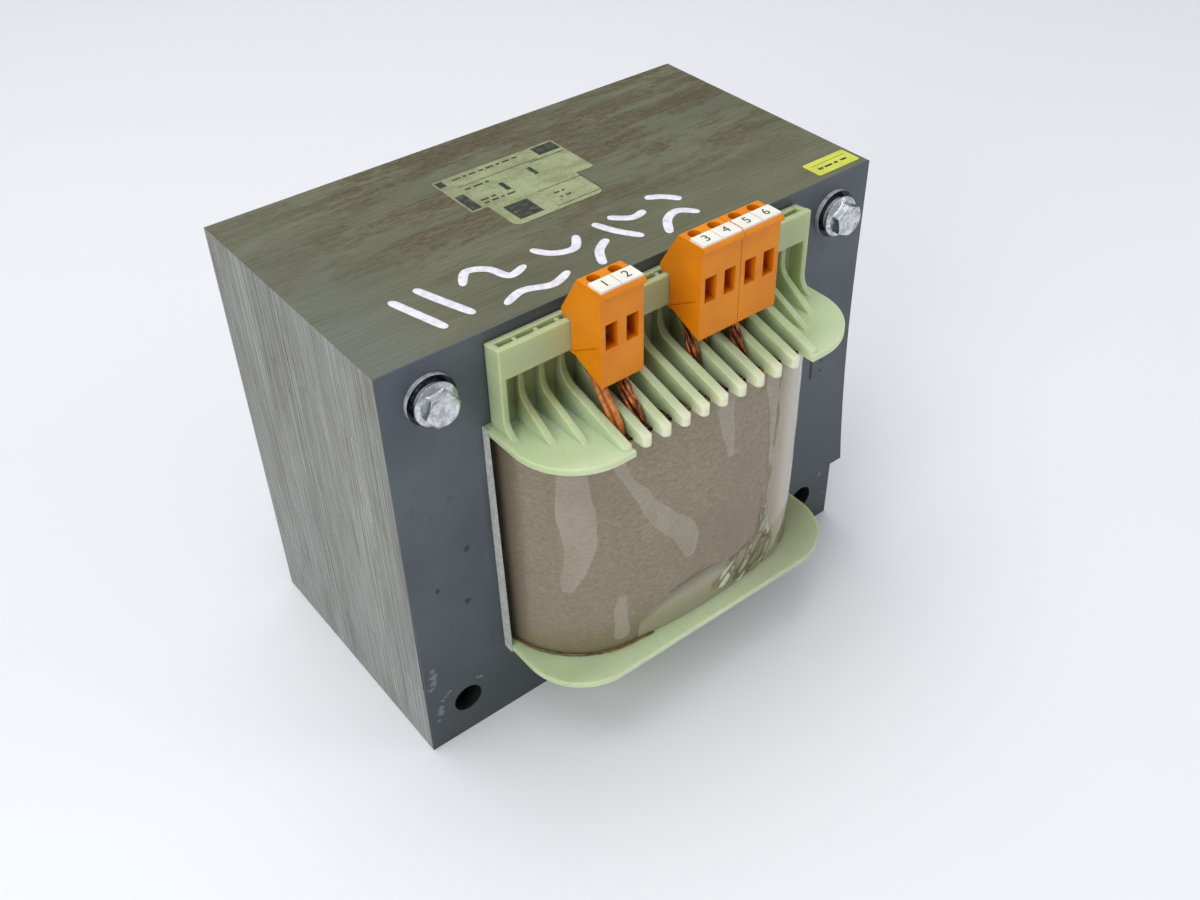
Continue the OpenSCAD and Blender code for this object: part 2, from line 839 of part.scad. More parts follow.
module inspection_sticker() {
  color("#e8e336") translate([sticker_x, sticker_y, core_h])
    linear_extrude(foil_t) round_rect(sticker_w, sticker_d, foil_r);
}

e_laminations_upright();
e_laminations_inverted();
i_laminations_lower();
i_laminations_upper();
front_e_lamination();
front_i_lamination();
bobbin();
secondary_winding();
interwinding_insulation();
primary_winding();
paper_wrap();
film_wrap();
slot_liners();
terminal_block_left();
terminal_block_middle();
terminal_block_right();
clamp_cages();
clamp_screws();
current_bars();
marker_tags();
secondary_leads();
primary_leads();
core_bolts();
front_washers();
spring_washers();
rear_washers();
core_nuts();
rating_label();
inspection_sticker();
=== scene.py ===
# A laminated chassis transformer on a pale table: a bolted stack of EI laminations, a
# moulded bobbin with a comb and a terminal rail, a wrapped coil and clip-on terminals.
import math

import bmesh
import bpy
from mathutils import Matrix, Vector, noise


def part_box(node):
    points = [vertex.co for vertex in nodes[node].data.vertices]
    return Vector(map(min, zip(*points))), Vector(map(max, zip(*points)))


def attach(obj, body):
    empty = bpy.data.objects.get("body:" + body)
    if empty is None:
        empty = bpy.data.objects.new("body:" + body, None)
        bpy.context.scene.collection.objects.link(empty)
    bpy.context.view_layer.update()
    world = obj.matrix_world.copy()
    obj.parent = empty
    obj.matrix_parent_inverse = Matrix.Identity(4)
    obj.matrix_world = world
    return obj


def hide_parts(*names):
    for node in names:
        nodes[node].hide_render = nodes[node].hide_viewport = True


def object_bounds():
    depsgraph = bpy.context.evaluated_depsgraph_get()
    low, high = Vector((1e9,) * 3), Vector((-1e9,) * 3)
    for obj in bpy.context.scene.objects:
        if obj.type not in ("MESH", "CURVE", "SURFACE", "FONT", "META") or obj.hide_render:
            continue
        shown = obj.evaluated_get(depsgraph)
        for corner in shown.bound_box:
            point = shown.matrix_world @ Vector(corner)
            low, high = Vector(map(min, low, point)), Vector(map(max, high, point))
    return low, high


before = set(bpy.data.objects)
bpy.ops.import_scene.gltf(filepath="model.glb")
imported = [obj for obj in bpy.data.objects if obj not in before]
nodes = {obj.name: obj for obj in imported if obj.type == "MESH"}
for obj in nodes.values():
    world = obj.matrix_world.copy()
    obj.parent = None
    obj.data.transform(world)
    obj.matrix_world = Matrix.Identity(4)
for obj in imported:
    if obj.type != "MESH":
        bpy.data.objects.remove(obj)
cad_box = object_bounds()


# ---- Camera ----
# A camera held by hand above the left end of the terminal side, close enough that the
# stack tapers strongly, and tilted a little.

MM = 0.001


def linked(name, data):
    """A new object, in the scene."""
    thing = bpy.data.objects.new(name, data)
    bpy.context.scene.collection.objects.link(thing)
    return thing


camera_data = bpy.data.cameras.new("camera")
camera_data.sensor_width = 36
camera_data.lens = 38.09
camera = linked("camera", camera_data)
camera_place = Vector((-212.4, -302.8, 361.9)) * MM
camera_azimuth = math.radians(-37.41)
camera_elevation = math.radians(40.15)
camera_roll = math.radians(-1.34)
camera.matrix_world = (
    Matrix.Translation(camera_place)
    @ Matrix.Rotation(camera_azimuth, 4, "Z")
    @ Matrix.Rotation(math.pi / 2 - camera_elevation, 4, "X")
    @ Matrix.Rotation(camera_roll, 4, "Z")
)
bpy.context.scene.camera = camera
bpy.context.scene.view_settings.view_transform = "Standard"


# ---- Table and light ----
# A matt white board under soft light: a wide lamp overhead, a tall soft box on the left
# that the film on the coil mirrors, and a weak one on the right.

COLOUR_A, COLOUR_B, COLOUR_OUT = 6, 7, 2  # sockets of a Mix node that mixes colours


def linear(hex_colour):
    """An sRGB hex colour as linear RGBA."""
    channels = [int(hex_colour[i:i + 2], 16) / 255 for i in (1, 3, 5)]
    return [c / 12.92 if c <= 0.04045 else ((c + 0.055) / 1.055) ** 2.4 for c in channels] + [1.0]


def feed(tree, node, inputs):
    """Fills a node's inputs, by name or number, each with a value, a hex colour or a socket."""
    for key, value in inputs.items():
        if isinstance(value, bpy.types.NodeSocket):
            tree.links.new(value, node.inputs[key])
        else:
            is_colour = isinstance(value, str) and value.startswith("#")
            node.inputs[key].default_value = linear(value) if is_colour else value


def add(tree, kind, inputs=None, **settings):
    """Adds a node with its settings, and fills its inputs."""
    node = tree.nodes.new(kind)
    for name, value in settings.items():
        setattr(node, name, value)
    feed(tree, node, inputs or {})
    return node


def new_material(name):
    """A material with an empty principled shader: (material, node tree, shader)."""
    material = bpy.data.materials.new(name)
    material.use_nodes = True
    tree = material.node_tree
    tree.nodes.clear()
    shader = add(tree, "ShaderNodeBsdfPrincipled")
    add(tree, "ShaderNodeOutputMaterial", {"Surface": shader.outputs[0]})
    return material, tree, shader


def area_lamp(name, place, aim, width, height, watts):
    """A rectangular soft lamp that faces the point aim."""
    data = bpy.data.lights.new(name, "AREA")
    data.shape = "RECTANGLE"
    data.size = width
    data.size_y = height
    data.energy = watts
    lamp = linked(name, data)
    lamp.location = place
    lamp.rotation_euler = (Vector(aim) - Vector(place)).to_track_quat("-Z", "Y").to_euler()


def plain_sheet(name, width, depth, z):
    """A flat rectangle round the origin."""
    mesh = bpy.data.meshes.new(name)
    corners = [(x * width / 2, y * depth / 2, z) for x, y in ((-1, -1), (1, -1), (1, 1), (-1, 1))]
    mesh.from_pydata(corners, [], [(0, 1, 2, 3)])
    return linked(name, mesh)


table_colour = "#eeeef1"
table = plain_sheet("table", 8, 8, -0.1 * MM)
table_paint, tree, shader = new_material("matt white board")
feed(tree, shader, {"Base Color": table_colour, "Roughness": 0.7})
table.data.materials.append(table_paint)

part_middle = (cad_box[0] + cad_box[1]) / 2
area_lamp("overhead", part_middle + Vector((-0.2, 0.25, 1.5)), part_middle, 1.6, 1.2, 15)
area_lamp("left_box", part_middle + Vector((-1.3, -0.55, 0.75)), part_middle, 0.7, 1.1, 9)
area_lamp("right_box", part_middle + Vector((1.1, -1.0, 0.7)), part_middle, 0.8, 0.8, 3.5)

world = bpy.data.worlds.new("world")
world.use_nodes = True
bpy.context.scene.world = world
world_tree = world.node_tree
world_tree.nodes.clear()
room_light = add(world_tree, "ShaderNodeBackground", {"Color": "#dfe4ea", "Strength": 0.55})
seen_wall = add(world_tree, "ShaderNodeBackground", {"Color": table_colour, "Strength": 1.0})
is_camera = add(world_tree, "ShaderNodeLightPath").outputs["Is Camera Ray"]
room = add(world_tree, "ShaderNodeMixShader",
           {0: is_camera, 1: room_light.outputs[0], 2: seen_wall.outputs[0]})
add(world_tree, "ShaderNodeOutputWorld", {"Surface": room.outputs[0]})


# ---- Lamination stack ----
# Stamped sheets of half-millimetre silicon steel, stacked in packets that are upright and
# inverted by turns. What shows is their cut edges under thin varnish, with rust in streaks
# along the sheets, and painted shade in dark lines where two sheets do not lie quite tight.


def worked_out(holder):
    """The mesh that a curve, a text or a modifier gives."""
    bpy.context.view_layer.update()
    evaluated = holder.evaluated_get(bpy.context.evaluated_depsgraph_get())
    return bpy.data.meshes.new_from_object(evaluated)


def from_curve(name, outlines, thickness, place=Matrix()):
    """A plate cut to closed 2D outlines (the first is the rim, the rest are holes), in metres."""
    curve = bpy.data.curves.new(name, "CURVE")
    curve.dimensions = "2D"
    curve.fill_mode = "BOTH"
    curve.extrude = thickness / 2
    for outline in outlines:
        spline = curve.splines.new("POLY")
        spline.points.add(len(outline) - 1)
        for point, (x, y) in zip(spline.points, outline):
            point.co = (x, y, 0, 1)
        spline.use_cyclic_u = True
    holder = linked(name, curve)
    mesh = worked_out(holder)
    bpy.data.objects.remove(holder)
    bpy.data.curves.remove(curve)
    mesh.transform(place)
    mesh.shade_flat()
    mesh.name = name
    return mesh


def round_hole(x, y, diameter, count=40):
    """A circle of points, as a hole for from_curve."""
    turn = 2 * math.pi / count
    return [(x + diameter / 2 * math.cos(turn * i), y + diameter / 2 * math.sin(turn * i))
            for i in range(count)]


def new_geometry_tree(name, inputs):
    """A geometry tree with a geometry in and out, and the named inputs {name: socket type}."""
    tree = bpy.data.node_groups.new(name, "GeometryNodeTree")
    tree.interface.new_socket("Geometry", in_out="INPUT", socket_type="NodeSocketGeometry")
    tree.interface.new_socket("Geometry", in_out="OUTPUT", socket_type="NodeSocketGeometry")
    for input_name, kind in inputs.items():
        tree.interface.new_socket(input_name, in_out="INPUT", socket_type=kind)
    return tree, add(tree, "NodeGroupInput").outputs


def close_tree(tree, geometry, material):
    """Ends a tree: realizes its instances and sets their material."""
    real = add(tree, "GeometryNodeRealizeInstances", {"Geometry": geometry})
    painted = add(tree, "GeometryNodeSetMaterial", {
        "Geometry": real.outputs[0], "Material": material})
    add(tree, "NodeGroupOutput", {"Geometry": painted.outputs[0]})


def grown(name, data, tree, values):
    """A plain mesh object, from the tree run on data with the named values."""
    holder = linked(name + "_source", data)
    modifier = holder.modifiers.new("grow", "NODES")
    modifier.node_group = tree
    for item in tree.interface.items_tree:
        if item.in_out == "INPUT" and item.name in values:
            modifier[item.identifier] = values[item.name]
    mesh = worked_out(holder)
    mesh.name = name
    holder.modifiers.remove(modifier)
    bpy.data.objects.remove(holder)
    return linked(name, mesh)


def grain(tree, sizes_mm, detail=3, roughness=0.55, distortion=0.0):
    """Noise fixed to the object, with grains of one size, or sizes along X, Y and Z, in mm."""
    sizes = sizes_mm if isinstance(sizes_mm, tuple) else (sizes_mm, sizes_mm, sizes_mm)
    stretched = add(tree, "ShaderNodeMapping", {
        "Vector": add(tree, "ShaderNodeTexCoord").outputs["Object"],
        "Scale": [1 / (size * MM) for size in sizes]})
    return add(tree, "ShaderNodeTexNoise", {
        "Vector": stretched.outputs[0], "Scale": 1.0, "Detail": detail, "Roughness": roughness,
        "Distortion": distortion}).outputs[0]


def axes(tree, coordinates="Object"):
    """X, Y and Z of the place on the object, or of its Normal."""
    source = add(tree, "ShaderNodeTexCoord").outputs[coordinates]
    return add(tree, "ShaderNodeSeparateXYZ", {0: source}).outputs


def amount(tree, *shares):
    """Shares multiplied together, each a socket, a number, or a soft step: (value, low, high)
    rises from 0 to 1 as the value goes from low to high, and two more numbers replace 0 and 1."""
    product = None
    for share in shares:
        if isinstance(share, tuple):
            value, low, high, at_low, at_high = share + (0.0, 1.0)[len(share) - 3:]
            share = add(tree, "ShaderNodeMapRange", {
                "Value": value, "From Min": low, "From Max": high, "To Min": at_low,
                "To Max": at_high}, interpolation_type="SMOOTHSTEP").outputs[0]
        product = share if product is None else add(
            tree, "ShaderNodeMath", {0: product, 1: share}, operation="MULTIPLY").outputs[0]
    return product


def layered(tree, base, *layers):
    """Colours laid over a base in turn, each (colour, *shares), with the shares of an amount."""
    for colour, *shares in layers:
        base = add(tree, "ShaderNodeMix", {
            0: amount(tree, *shares), COLOUR_A: base, COLOUR_B: colour},
            data_type="RGBA").outputs[COLOUR_OUT]
    return base


core_width = 192 * MM
core_height = 160 * MM
yoke_height = 32 * MM
outer_leg = 32 * MM
centre_leg = 64 * MM
butt_gap = 0.1 * MM
corner_hole = 11 * MM
hole_inset = 16 * MM
packet_count = 8
sheets_per_packet = 26
stack_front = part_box("front_i_lamination")[1].y
stack_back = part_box("e_laminations_inverted")[1].y
packet = (stack_back - stack_front) / packet_count
sheet_pitch = packet / sheets_per_packet
sheet_thickness = sheet_pitch - 0.02 * MM
sheet_wander = 0.045 * MM

half = core_width / 2
leg_end = yoke_height + butt_gap
window_top = core_height - yoke_height
e_rim = [(-half, core_height), (-half, leg_end), (-half + outer_leg, leg_end),
         (-half + outer_leg, window_top), (-centre_leg / 2, window_top), (-centre_leg / 2, leg_end),
         (centre_leg / 2, leg_end), (centre_leg / 2, window_top), (half - outer_leg, window_top),
         (half - outer_leg, leg_end), (half, leg_end), (half, core_height)]
i_rim = [(-half, 0), (half, 0), (half, yoke_height), (-half, yoke_height)]
upper_holes, lower_holes = (
    [round_hole(side * (half - hole_inset), z, corner_hole) for side in (-1, 1)]
    for z in (core_height - hole_inset, hole_inset))

# Cut edges of silicon steel under thin varnish: satin olive grey on top with brown rust in
# streaky blotches; the sides carry less rust and are painted paler as painted light, with fine dark
# lines along the sheets.
edge_steel, tree, shader = new_material("varnished lamination edges")
xyz = axes(tree)
sheet_tone = add(tree, "ShaderNodeAttribute", attribute_name="sheet_tone").outputs["Fac"]
facing = axes(tree, "Normal")
side_share = add(tree, "ShaderNodeMath", {0: facing["X"]}, operation="ABSOLUTE").outputs[0]
face_share = add(tree, "ShaderNodeMath", {0: facing["Y"]}, operation="ABSOLUTE").outputs[0]
most_on_side, more_on_side, most_on_top = (
    add(tree, "ShaderNodeMath", {
        0: side_share, 1: factor, 2: least}, operation="MULTIPLY_ADD").outputs[0]
    for factor, least in ((0.75, 0.25), (0.6, 0.4), (-0.8, 1.0)))
wide_streaks = grain(tree, (70, 16, 70))
blotches = grain(tree, (36, 10, 36), 6, 0.76, 0.3)
# Deep in the corner holes no light reaches the edges
beside_axis = add(tree, "ShaderNodeMath", {
    0: add(tree, "ShaderNodeMath", {0: xyz["X"]}, operation="ABSOLUTE").outputs[0],
    1: half - hole_inset}, operation="SUBTRACT").outputs[0]
from_yoke = add(tree, "ShaderNodeMath", {0: xyz["Z"], 1: core_height / 2}, operation="PINGPONG")
above_axis = add(tree, "ShaderNodeMath", {
    0: from_yoke.outputs[0], 1: hole_inset}, operation="SUBTRACT").outputs[0]
off_axis = add(tree, "ShaderNodeMath", {
    0: add(tree, "ShaderNodeMath", {
        0: beside_axis, 1: beside_axis, 2: amount(tree, above_axis, above_axis)},
        operation="MULTIPLY_ADD").outputs[0]}, operation="SQRT").outputs[0]
top_colour = layered(
    tree, "#666750", ("#74755d", (wide_streaks, 0.3, 0.7)),
    # The varnish is thicker and greyer along the left edge
    ("#6f746c", (xyz["X"], -92 * MM, -60 * MM, 0.75, 0.0),
     (xyz["Y"], -45 * MM, 30 * MM, 1.0, 0.25)))
# Painted light: the sides are painted paler than the top, and lighter towards the bottom
lit_side_colour = layered(
    tree, "#8d8e87", ("#a0a19a", (wide_streaks, 0.3, 0.7)),
    ("#9ba19f", (xyz["Z"], 0.0, 90 * MM, 0.6, 0.0)), ("#86816a", (blotches, 0.5, 0.66, 0.0, 0.5)))
rear_colour = layered(
    tree, "#464d53", ("#555c62", (grain(tree, 40, 4), 0.35, 0.65)),
    ("#3b4144", (grain(tree, 7, 4, 0.7), 0.56, 0.72, 0.0, 0.5)))
edge_colour = layered(
    tree, top_colour, (lit_side_colour, side_share), ("#45453c", sheet_tone, most_on_side, 0.15),
    ("#504c3f", (grain(tree, (45, 0.7, 45), 4), 0.48, 0.72, 0.0, 0.4), most_on_side),
    # Rust, most of it away from the front and from the left edge
    ("#523f26", (blotches, 0.42, 0.58), (grain(tree, (3.2, 0.8, 3.2), 4, 0.7), 0.36, 0.6, 0.3, 1.0),
     (xyz["Y"], -45 * MM, 0.0, 0.12, 1.0), (xyz["X"], -88 * MM, -35 * MM, 0.45, 1.0),
     most_on_top, 0.85),
    # Painted shade: dark lines where the gaps between sheets lie in shadow
    ("#3f3f38", (grain(tree, (60, 0.42, 60), 2), 0.58, 0.66),
     (grain(tree, (50, 6, 50), 2), 0.42, 0.6, 0.1, 0.8), more_on_side),
    ("#101312", (off_axis, corner_hole / 2 + 0.1 * MM, corner_hole / 2 + 0.3 * MM, 0.97, 0.0)),
    (rear_colour, (face_share, 0.4, 0.6)))
edge_bump = add(tree, "ShaderNodeBump", {
    "Strength": 0.18, "Distance": 0.08 * MM, "Height": grain(tree, (25, 0.5, 25), 4)})
feed(tree, shader, {
    "Base Color": edge_colour, "Metallic": 0.12, "Specular IOR Level": 0.35,
    "Roughness": amount(tree, (blotches, 0.3, 0.7, 0.45, 0.62)), "Normal": edge_bump.outputs[0]})

# One sheet is set at every place in its packets, each a little in or out of line.
stack_tree, given = new_geometry_tree("stacked sheets", {
    "Count": "NodeSocketInt", "Sheets per packet": "NodeSocketInt", "Stride": "NodeSocketFloat",
    "Pitch": "NodeSocketFloat", "Start": "NodeSocketFloat", "Wander": "NodeSocketFloat",
    "Sink": "NodeSocketFloat", "Seed": "NodeSocketInt", "Material": "NodeSocketMaterial"})
index = add(stack_tree, "GeometryNodeInputIndex").outputs[0]
by_packet = {0: index, 1: given["Sheets per packet"]}
packet_index = add(stack_tree, "ShaderNodeMath", {
    0: add(stack_tree, "ShaderNodeMath", by_packet, operation="DIVIDE").outputs[0]},
    operation="FLOOR")
in_packet = add(stack_tree, "ShaderNodeMath", by_packet, operation="MODULO")
packet_start = add(stack_tree, "ShaderNodeMath", {
    0: packet_index.outputs[0], 1: given["Stride"], 2: given["Start"]}, operation="MULTIPLY_ADD")
sheet_y = add(stack_tree, "ShaderNodeMath", {
    0: in_packet.outputs[0], 1: given["Pitch"], 2: packet_start.outputs[0]},
    operation="MULTIPLY_ADD")
drift = add(stack_tree, "FunctionNodeRandomValue", {
    0: (-1, 0, 0), 1: (1, 0, 1), "Seed": given["Seed"]}, data_type="FLOAT_VECTOR")
drift_size = add(stack_tree, "ShaderNodeCombineXYZ", {0: given["Wander"], 1: 0.0, 2: given["Sink"]})
sheet_place = add(stack_tree, "ShaderNodeVectorMath", {
    0: drift.outputs[0], 1: drift_size.outputs[0],
    2: add(stack_tree, "ShaderNodeCombineXYZ", {1: sheet_y.outputs[0]}).outputs[0]},
    operation="MULTIPLY_ADD")
points = add(stack_tree, "GeometryNodePoints", {
    "Count": given["Count"], "Position": sheet_place.outputs[0]})
placed = add(stack_tree, "GeometryNodeInstanceOnPoints", {
    "Points": points.outputs[0], "Instance": given["Geometry"]})
tone = add(stack_tree, "FunctionNodeRandomValue", {
    2: 0.0, 3: 1.0, "Seed": given["Seed"]}, data_type="FLOAT")
stored = add(stack_tree, "GeometryNodeStoreNamedAttribute", {
    "Geometry": placed.outputs[0], "Name": "sheet_tone", "Value": tone.outputs[1]},
    data_type="FLOAT", domain="INSTANCE")
close_tree(stack_tree, stored.outputs[0], given["Material"])

upright = Matrix.Rotation(math.pi / 2, 4, "X")
turned_over = Matrix.Translation((0, 0, core_height)) @ Matrix.Rotation(-math.pi / 2, 4, "X")
stacks = [
    ("upright_e_sheets", "e_laminations_upright", e_rim, upper_holes, upright, 0, -1),
    ("lower_i_sheets", "i_laminations_lower", i_rim, lower_holes, upright, 0, 1),
    ("inverted_e_sheets", "e_laminations_inverted", e_rim, upper_holes, turned_over, 1, 1),
    ("upper_i_sheets", "i_laminations_upper", i_rim, lower_holes, turned_over, 1, -1),
]
for number, (name, cad_node, rim, holes, place, first_packet, inward) in enumerate(stacks):
    sheet = from_curve(name + "_sheet", [rim] + holes, sheet_thickness, place)
    stack = grown(name, sheet, stack_tree, {
        "Count": sheets_per_packet * packet_count // 2, "Sheets per packet": sheets_per_packet,
        "Stride": 2 * packet, "Pitch": sheet_pitch, "Wander": sheet_wander, "Seed": 11 + number,
        "Start": stack_front + first_packet * packet + sheet_pitch / 2,
        "Sink": inward * sheet_wander, "Material": edge_steel})
    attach(stack, "root")
    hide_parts(cad_node)


# ---- Front sheets ----
# The outermost E and I, with the blue-grey oxide coat that all the sheets have on their
# faces. It is satin, faintly clouded from the annealing, and rubbed round the open holes.


def dress(material, *names):
    """Gives CAD nodes a material."""
    for name in names:
        for slot in nodes[name].material_slots:
            slot.material = material


def patches(tree, spots, ragged_mm):
    """1 inside ragged round spots, each (x, y, z, radius) in mm, and 0 outside them."""
    position = add(tree, "ShaderNodeTexCoord").outputs["Object"]
    ragged_edge = amount(tree, grain(tree, ragged_mm, 4, 0.7), 1.6)
    inside = 0.0
    for *middle, radius in spots:
        away = add(tree, "ShaderNodeVectorMath", {0: position, 1: [c * MM for c in middle]},
                   operation="DISTANCE").outputs["Value"]
        spread = add(tree, "ShaderNodeMath", {0: away, 1: 1 / (radius * MM), 2: ragged_edge},
                     operation="MULTIPLY_ADD").outputs[0]
        near = amount(tree, (spread, 1.35, 1.6, 1.0, 0.0))
        inside = add(tree, "ShaderNodeMath", {0: inside, 1: near}, operation="MAXIMUM").outputs[0]
    return inside


blued_steel, tree, shader = new_material("blue-grey oxide coat")
xyz = axes(tree)
clouds = grain(tree, 45, 4)
# Bare patches beside the left hole, and a few bright nicks beside the right one
scuffs = patches(tree, [
    (-92.5, -52, 39.5, 1.8), (-92.4, -52, 36.8, 2.2), (-92.6, -52, 34, 2.4),
    (-93.2, -52, 31.2, 2.2), (-90.9, -52, 37, 1.1), (-89.9, -52, 35.9, 1.1), (-88.9, -52, 37.2, 1),
    (-86.1, -52, 33.6, 1), (-86.6, -52, 24.4, 0.9), (-87.6, -52, 23.7, 0.9),
    (-88.6, -52, 22.9, 0.9), (-89.7, -52, 21.9, 1), (-90.8, -52, 18.9, 1.7), (-91, -52, 16.5, 1.9),
    (-75.5, -52, 23.4, 0.9), (-74.2, -52, 22.9, 1.1), (-92.3, -52, 13.2, 1), (75.7, -52.5, 32, 1.7),
    (82.7, -52.5, 26.1, 1.5), (90.1, -52.5, 23.3, 1.6), (75.8, -52.5, 30.4, 1.2),
    (92.8, -52.5, 12.3, 1.1)], 1.4)
# Spatter of varnish on both legs, and a dark vertical mark on the right one
drops = patches(tree, [
    (82.2, -53, 84, 0.9), (82, -53, 79.8, 0.8), (81.2, -53, 66, 1.1),
    (-74, -52, 84, 1.6), (-76, -52, 62, 1.8), (-86, -52, 73, 1.4)], 1.2)
beside_stroke, along_stroke = (
    add(tree, "ShaderNodeMath", {
        0: add(tree, "ShaderNodeMath", {0: xyz[way], 1: middle}, operation="SUBTRACT").outputs[0]},
        operation="ABSOLUTE").outputs[0] for way, middle in (("X", 77 * MM), ("Z", 82.8 * MM)))
stroke = amount(tree, (beside_stroke, 0.5 * MM, 0.9 * MM, 1.0, 0.0),
              (along_stroke, 4.5 * MM, 5 * MM, 1.0, 0.0), 0.9)
dark_marks = add(tree, "ShaderNodeMath", {
    0: amount(tree, drops, 0.8), 1: stroke}, operation="MAXIMUM")
coat_colour = layered(
    tree, "#4d545b", ("#5c6369", (clouds, 0.35, 0.65)),
    ("#3c4444", (xyz["Z"], 0.0, 100 * MM, 0.75, 0.0)),
    ("#40464a", (grain(tree, 7, 4, 0.7), 0.58, 0.72, 0.0, 0.45)),
    ("#868b8d", (grain(tree, 1.1, 2), 0.7, 0.8, 0.0, 0.3)),
    ("#8d9492", scuffs, 0.5), ("#1f2325", dark_marks.outputs[0]))
coat_bump = add(tree, "ShaderNodeBump", {
    "Strength": 0.2, "Distance": 0.05 * MM, "Height": grain(tree, 0.8)})
feed(tree, shader, {
    "Base Color": coat_colour, "Metallic": 0.3, "Normal": coat_bump.outputs[0],
    "Roughness": amount(tree, (clouds, 0.3, 0.7, 0.38, 0.52))})
dress(blued_steel, "front_e_lamination", "front_i_lamination")


# ---- Bobbin ----
# One moulding of natural glass-filled nylon: pale green, a little translucent, so that its
# thin ribs and fingers glow, with a satin skin and edges rounded by the mould.

flange_top, rail_bottom = 127.5 * MM, 146.8 * MM
comb_half_width = 33 * MM
nylon, tree, shader = new_material("natural green nylon")
xyz = axes(tree)
from_centre, from_middle = (
    add(tree, "ShaderNodeMath", {0: xyz[way]}, operation="ABSOLUTE").outputs[0] for way in "XY")
nylon_colour = layered(
    tree, "#b6c69d", ("#c1d0ab", (grain(tree, 30, 2), 0.3, 0.7)),
    # Painted shade: the rail and the roots of the ribs are painted deeper and yellower, as in
    # shadow, and darkest with painted shadow under the rail
    ("#a3a66f", (xyz["Z"], 127 * MM, 142 * MM, 0.0, 0.35)),
    ("#67692c", (xyz["Z"], flange_top, flange_top + 6.5 * MM),
     (xyz["Z"], rail_bottom - 0.2 * MM, rail_bottom + 0.2 * MM, 1.0, 0.0),
     (from_centre, 54 * MM, 58 * MM, 1.0, 0.1), (xyz["X"], 22 * MM, 40 * MM, 1.0, 0.25),
     (from_middle, 58 * MM, 70 * MM, 0.62, 0.0)),
    # The thin round noses of the fingers are nearly white
    ("#dbe3cd", (from_middle, 79 * MM, 88 * MM, 0.0, 0.4)),
    ("#e2e2cc", (from_middle, 82.5 * MM, 87.5 * MM, 0.0, 0.7),
     (from_centre, comb_half_width, comb_half_width + 1.5 * MM, 1.0, 0.0),
     (xyz["Z"], 120 * MM, 125 * MM)),
    ("#a2ab86", (grain(tree, 2.5), 0.55, 0.8, 0.0, 0.3)),
    # Painted shade on the right end of the lower flange, under the film that hangs over it
    ("#a39a80", (xyz["Z"], 36 * MM, 38 * MM, 1.0, 0.0), (xyz["X"], -10 * MM, 35 * MM, 0.0, 0.42)))
skin = add(tree, "ShaderNodeBump", {
    "Strength": 0.15, "Distance": 0.05 * MM, "Height": grain(tree, 0.9),
    "Normal": add(tree, "ShaderNodeBevel", {"Radius": 0.8 * MM}, samples=6).outputs[0]})
feed(tree, shader, {
    "Base Color": nylon_colour, "Roughness": 0.38, "Subsurface Weight": 0.8,
    "Subsurface Radius": (1.0, 1.0, 0.3), "Subsurface Scale": 4 * MM, "Normal": skin.outputs[0]})
dress(nylon, "bobbin")


# ---- Windings ----
# Enamelled copper wire in flat layers, of which only the end turns show, deep between the
# fingers of the comb: dark amber varnish with brighter wire in it. Plain paper parts them.


def mottled(name, colours, low, high, grain_sizes, finish, most=1.0, raised=None):
    """A material whose colour goes from the first to the second where its grain rises from low
    to high. raised is the strength and the depth in mm with which the grain stands out."""
    material, tree, shader = new_material(name)
    mottle = grain(tree, *grain_sizes)
    feed(tree, shader, {
        "Base Color": layered(tree, colours[0], (colours[1], (mottle, low, high, 0.0, most)))})
    if raised:
        bump = add(tree, "ShaderNodeBump", {
            "Strength": raised[0], "Distance": raised[1] * MM, "Height": mottle})
        feed(tree, shader, {"Normal": bump.outputs[0]})
    feed(tree, shader, finish)
    return material


wire_pitch = 1.4
enamelled_wire = mottled(
    "varnished winding ends", ("#150d08", "#b07a35"), 0.52, 0.62,
    ((14, wire_pitch, 14), 3, 0.55, 0.4), {"Metallic": 0.6, "Roughness": 0.25}, raised=(0.8, 0.5))
dress(enamelled_wire, "secondary_winding", "primary_winding")
press_paper = mottled(
    "insulating paper", ("#cdbf98", "#b2a47e"), 0.35, 0.7, ((2.2, 0.8, 2.2),), {"Roughness": 0.8})
dress(press_paper, "interwinding_insulation")


# ---- Coil wrap ----
# Brown-beige pressboard wound round the coil, with darker fibres and specks in it, and painted
# shade that turns it darker and olive near the lower flange.

wrap_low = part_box("paper_wrap")[0]
pressboard, tree, shader = new_material("speckled pressboard")
xyz = axes(tree)
speck = grain(tree, 1.1, 2, 0.7)
cloud = grain(tree, 40, 2)
uneven_height = add(tree, "ShaderNodeMath", {
    0: cloud, 1: 18 * MM, 2: xyz["Z"]}, operation="MULTIPLY_ADD").outputs[0]
board_colour = layered(
    tree, "#91826a", ("#a99a82", (grain(tree, (2.0, 2.0, 1.0), 4, 0.75), 0.38, 0.62)),
    ("#cfc3ae", (speck, 0.6, 0.68, 0.0, 0.32)), ("#54483a", (speck, 0.3, 0.4, 0.2, 0.0)),
    ("#7f715c", (cloud, 0.35, 0.7, 0.0, 0.35)),
    # Painted shade near the lower flange, with an uneven top edge
    ("#7d7750", (uneven_height, wrap_low.z + 8 * MM, wrap_low.z + 30 * MM, 0.65, 0.0)),
    # Painted shade: the board is painted dark where it goes in beside the left liner, in the liner's
    # shadow
    ("#40382a", (xyz["X"], -60.6 * MM, -57.2 * MM, 0.8, 0.0)))
feed(tree, shader, {"Base Color": board_colour, "Roughness": 0.6})
dress(pressboard, "paper_wrap")


# ---- Film ----
# Clear polyester film drawn round the pressboard and taped. It is glossy, waves gently over
# the board, stands in long folds at the right, and is crumpled where its end is stuck down.
# Its pale patches are painted reflections, its right end has painted light and its creases painted
# shade.

film_low, film_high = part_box("film_wrap")
film_corner = 33 * MM
film_bow = 2.2 * MM
film_half_x = film_high.x
film_half_y = film_high.y - film_bow
film_points = 560
film_rows = 130


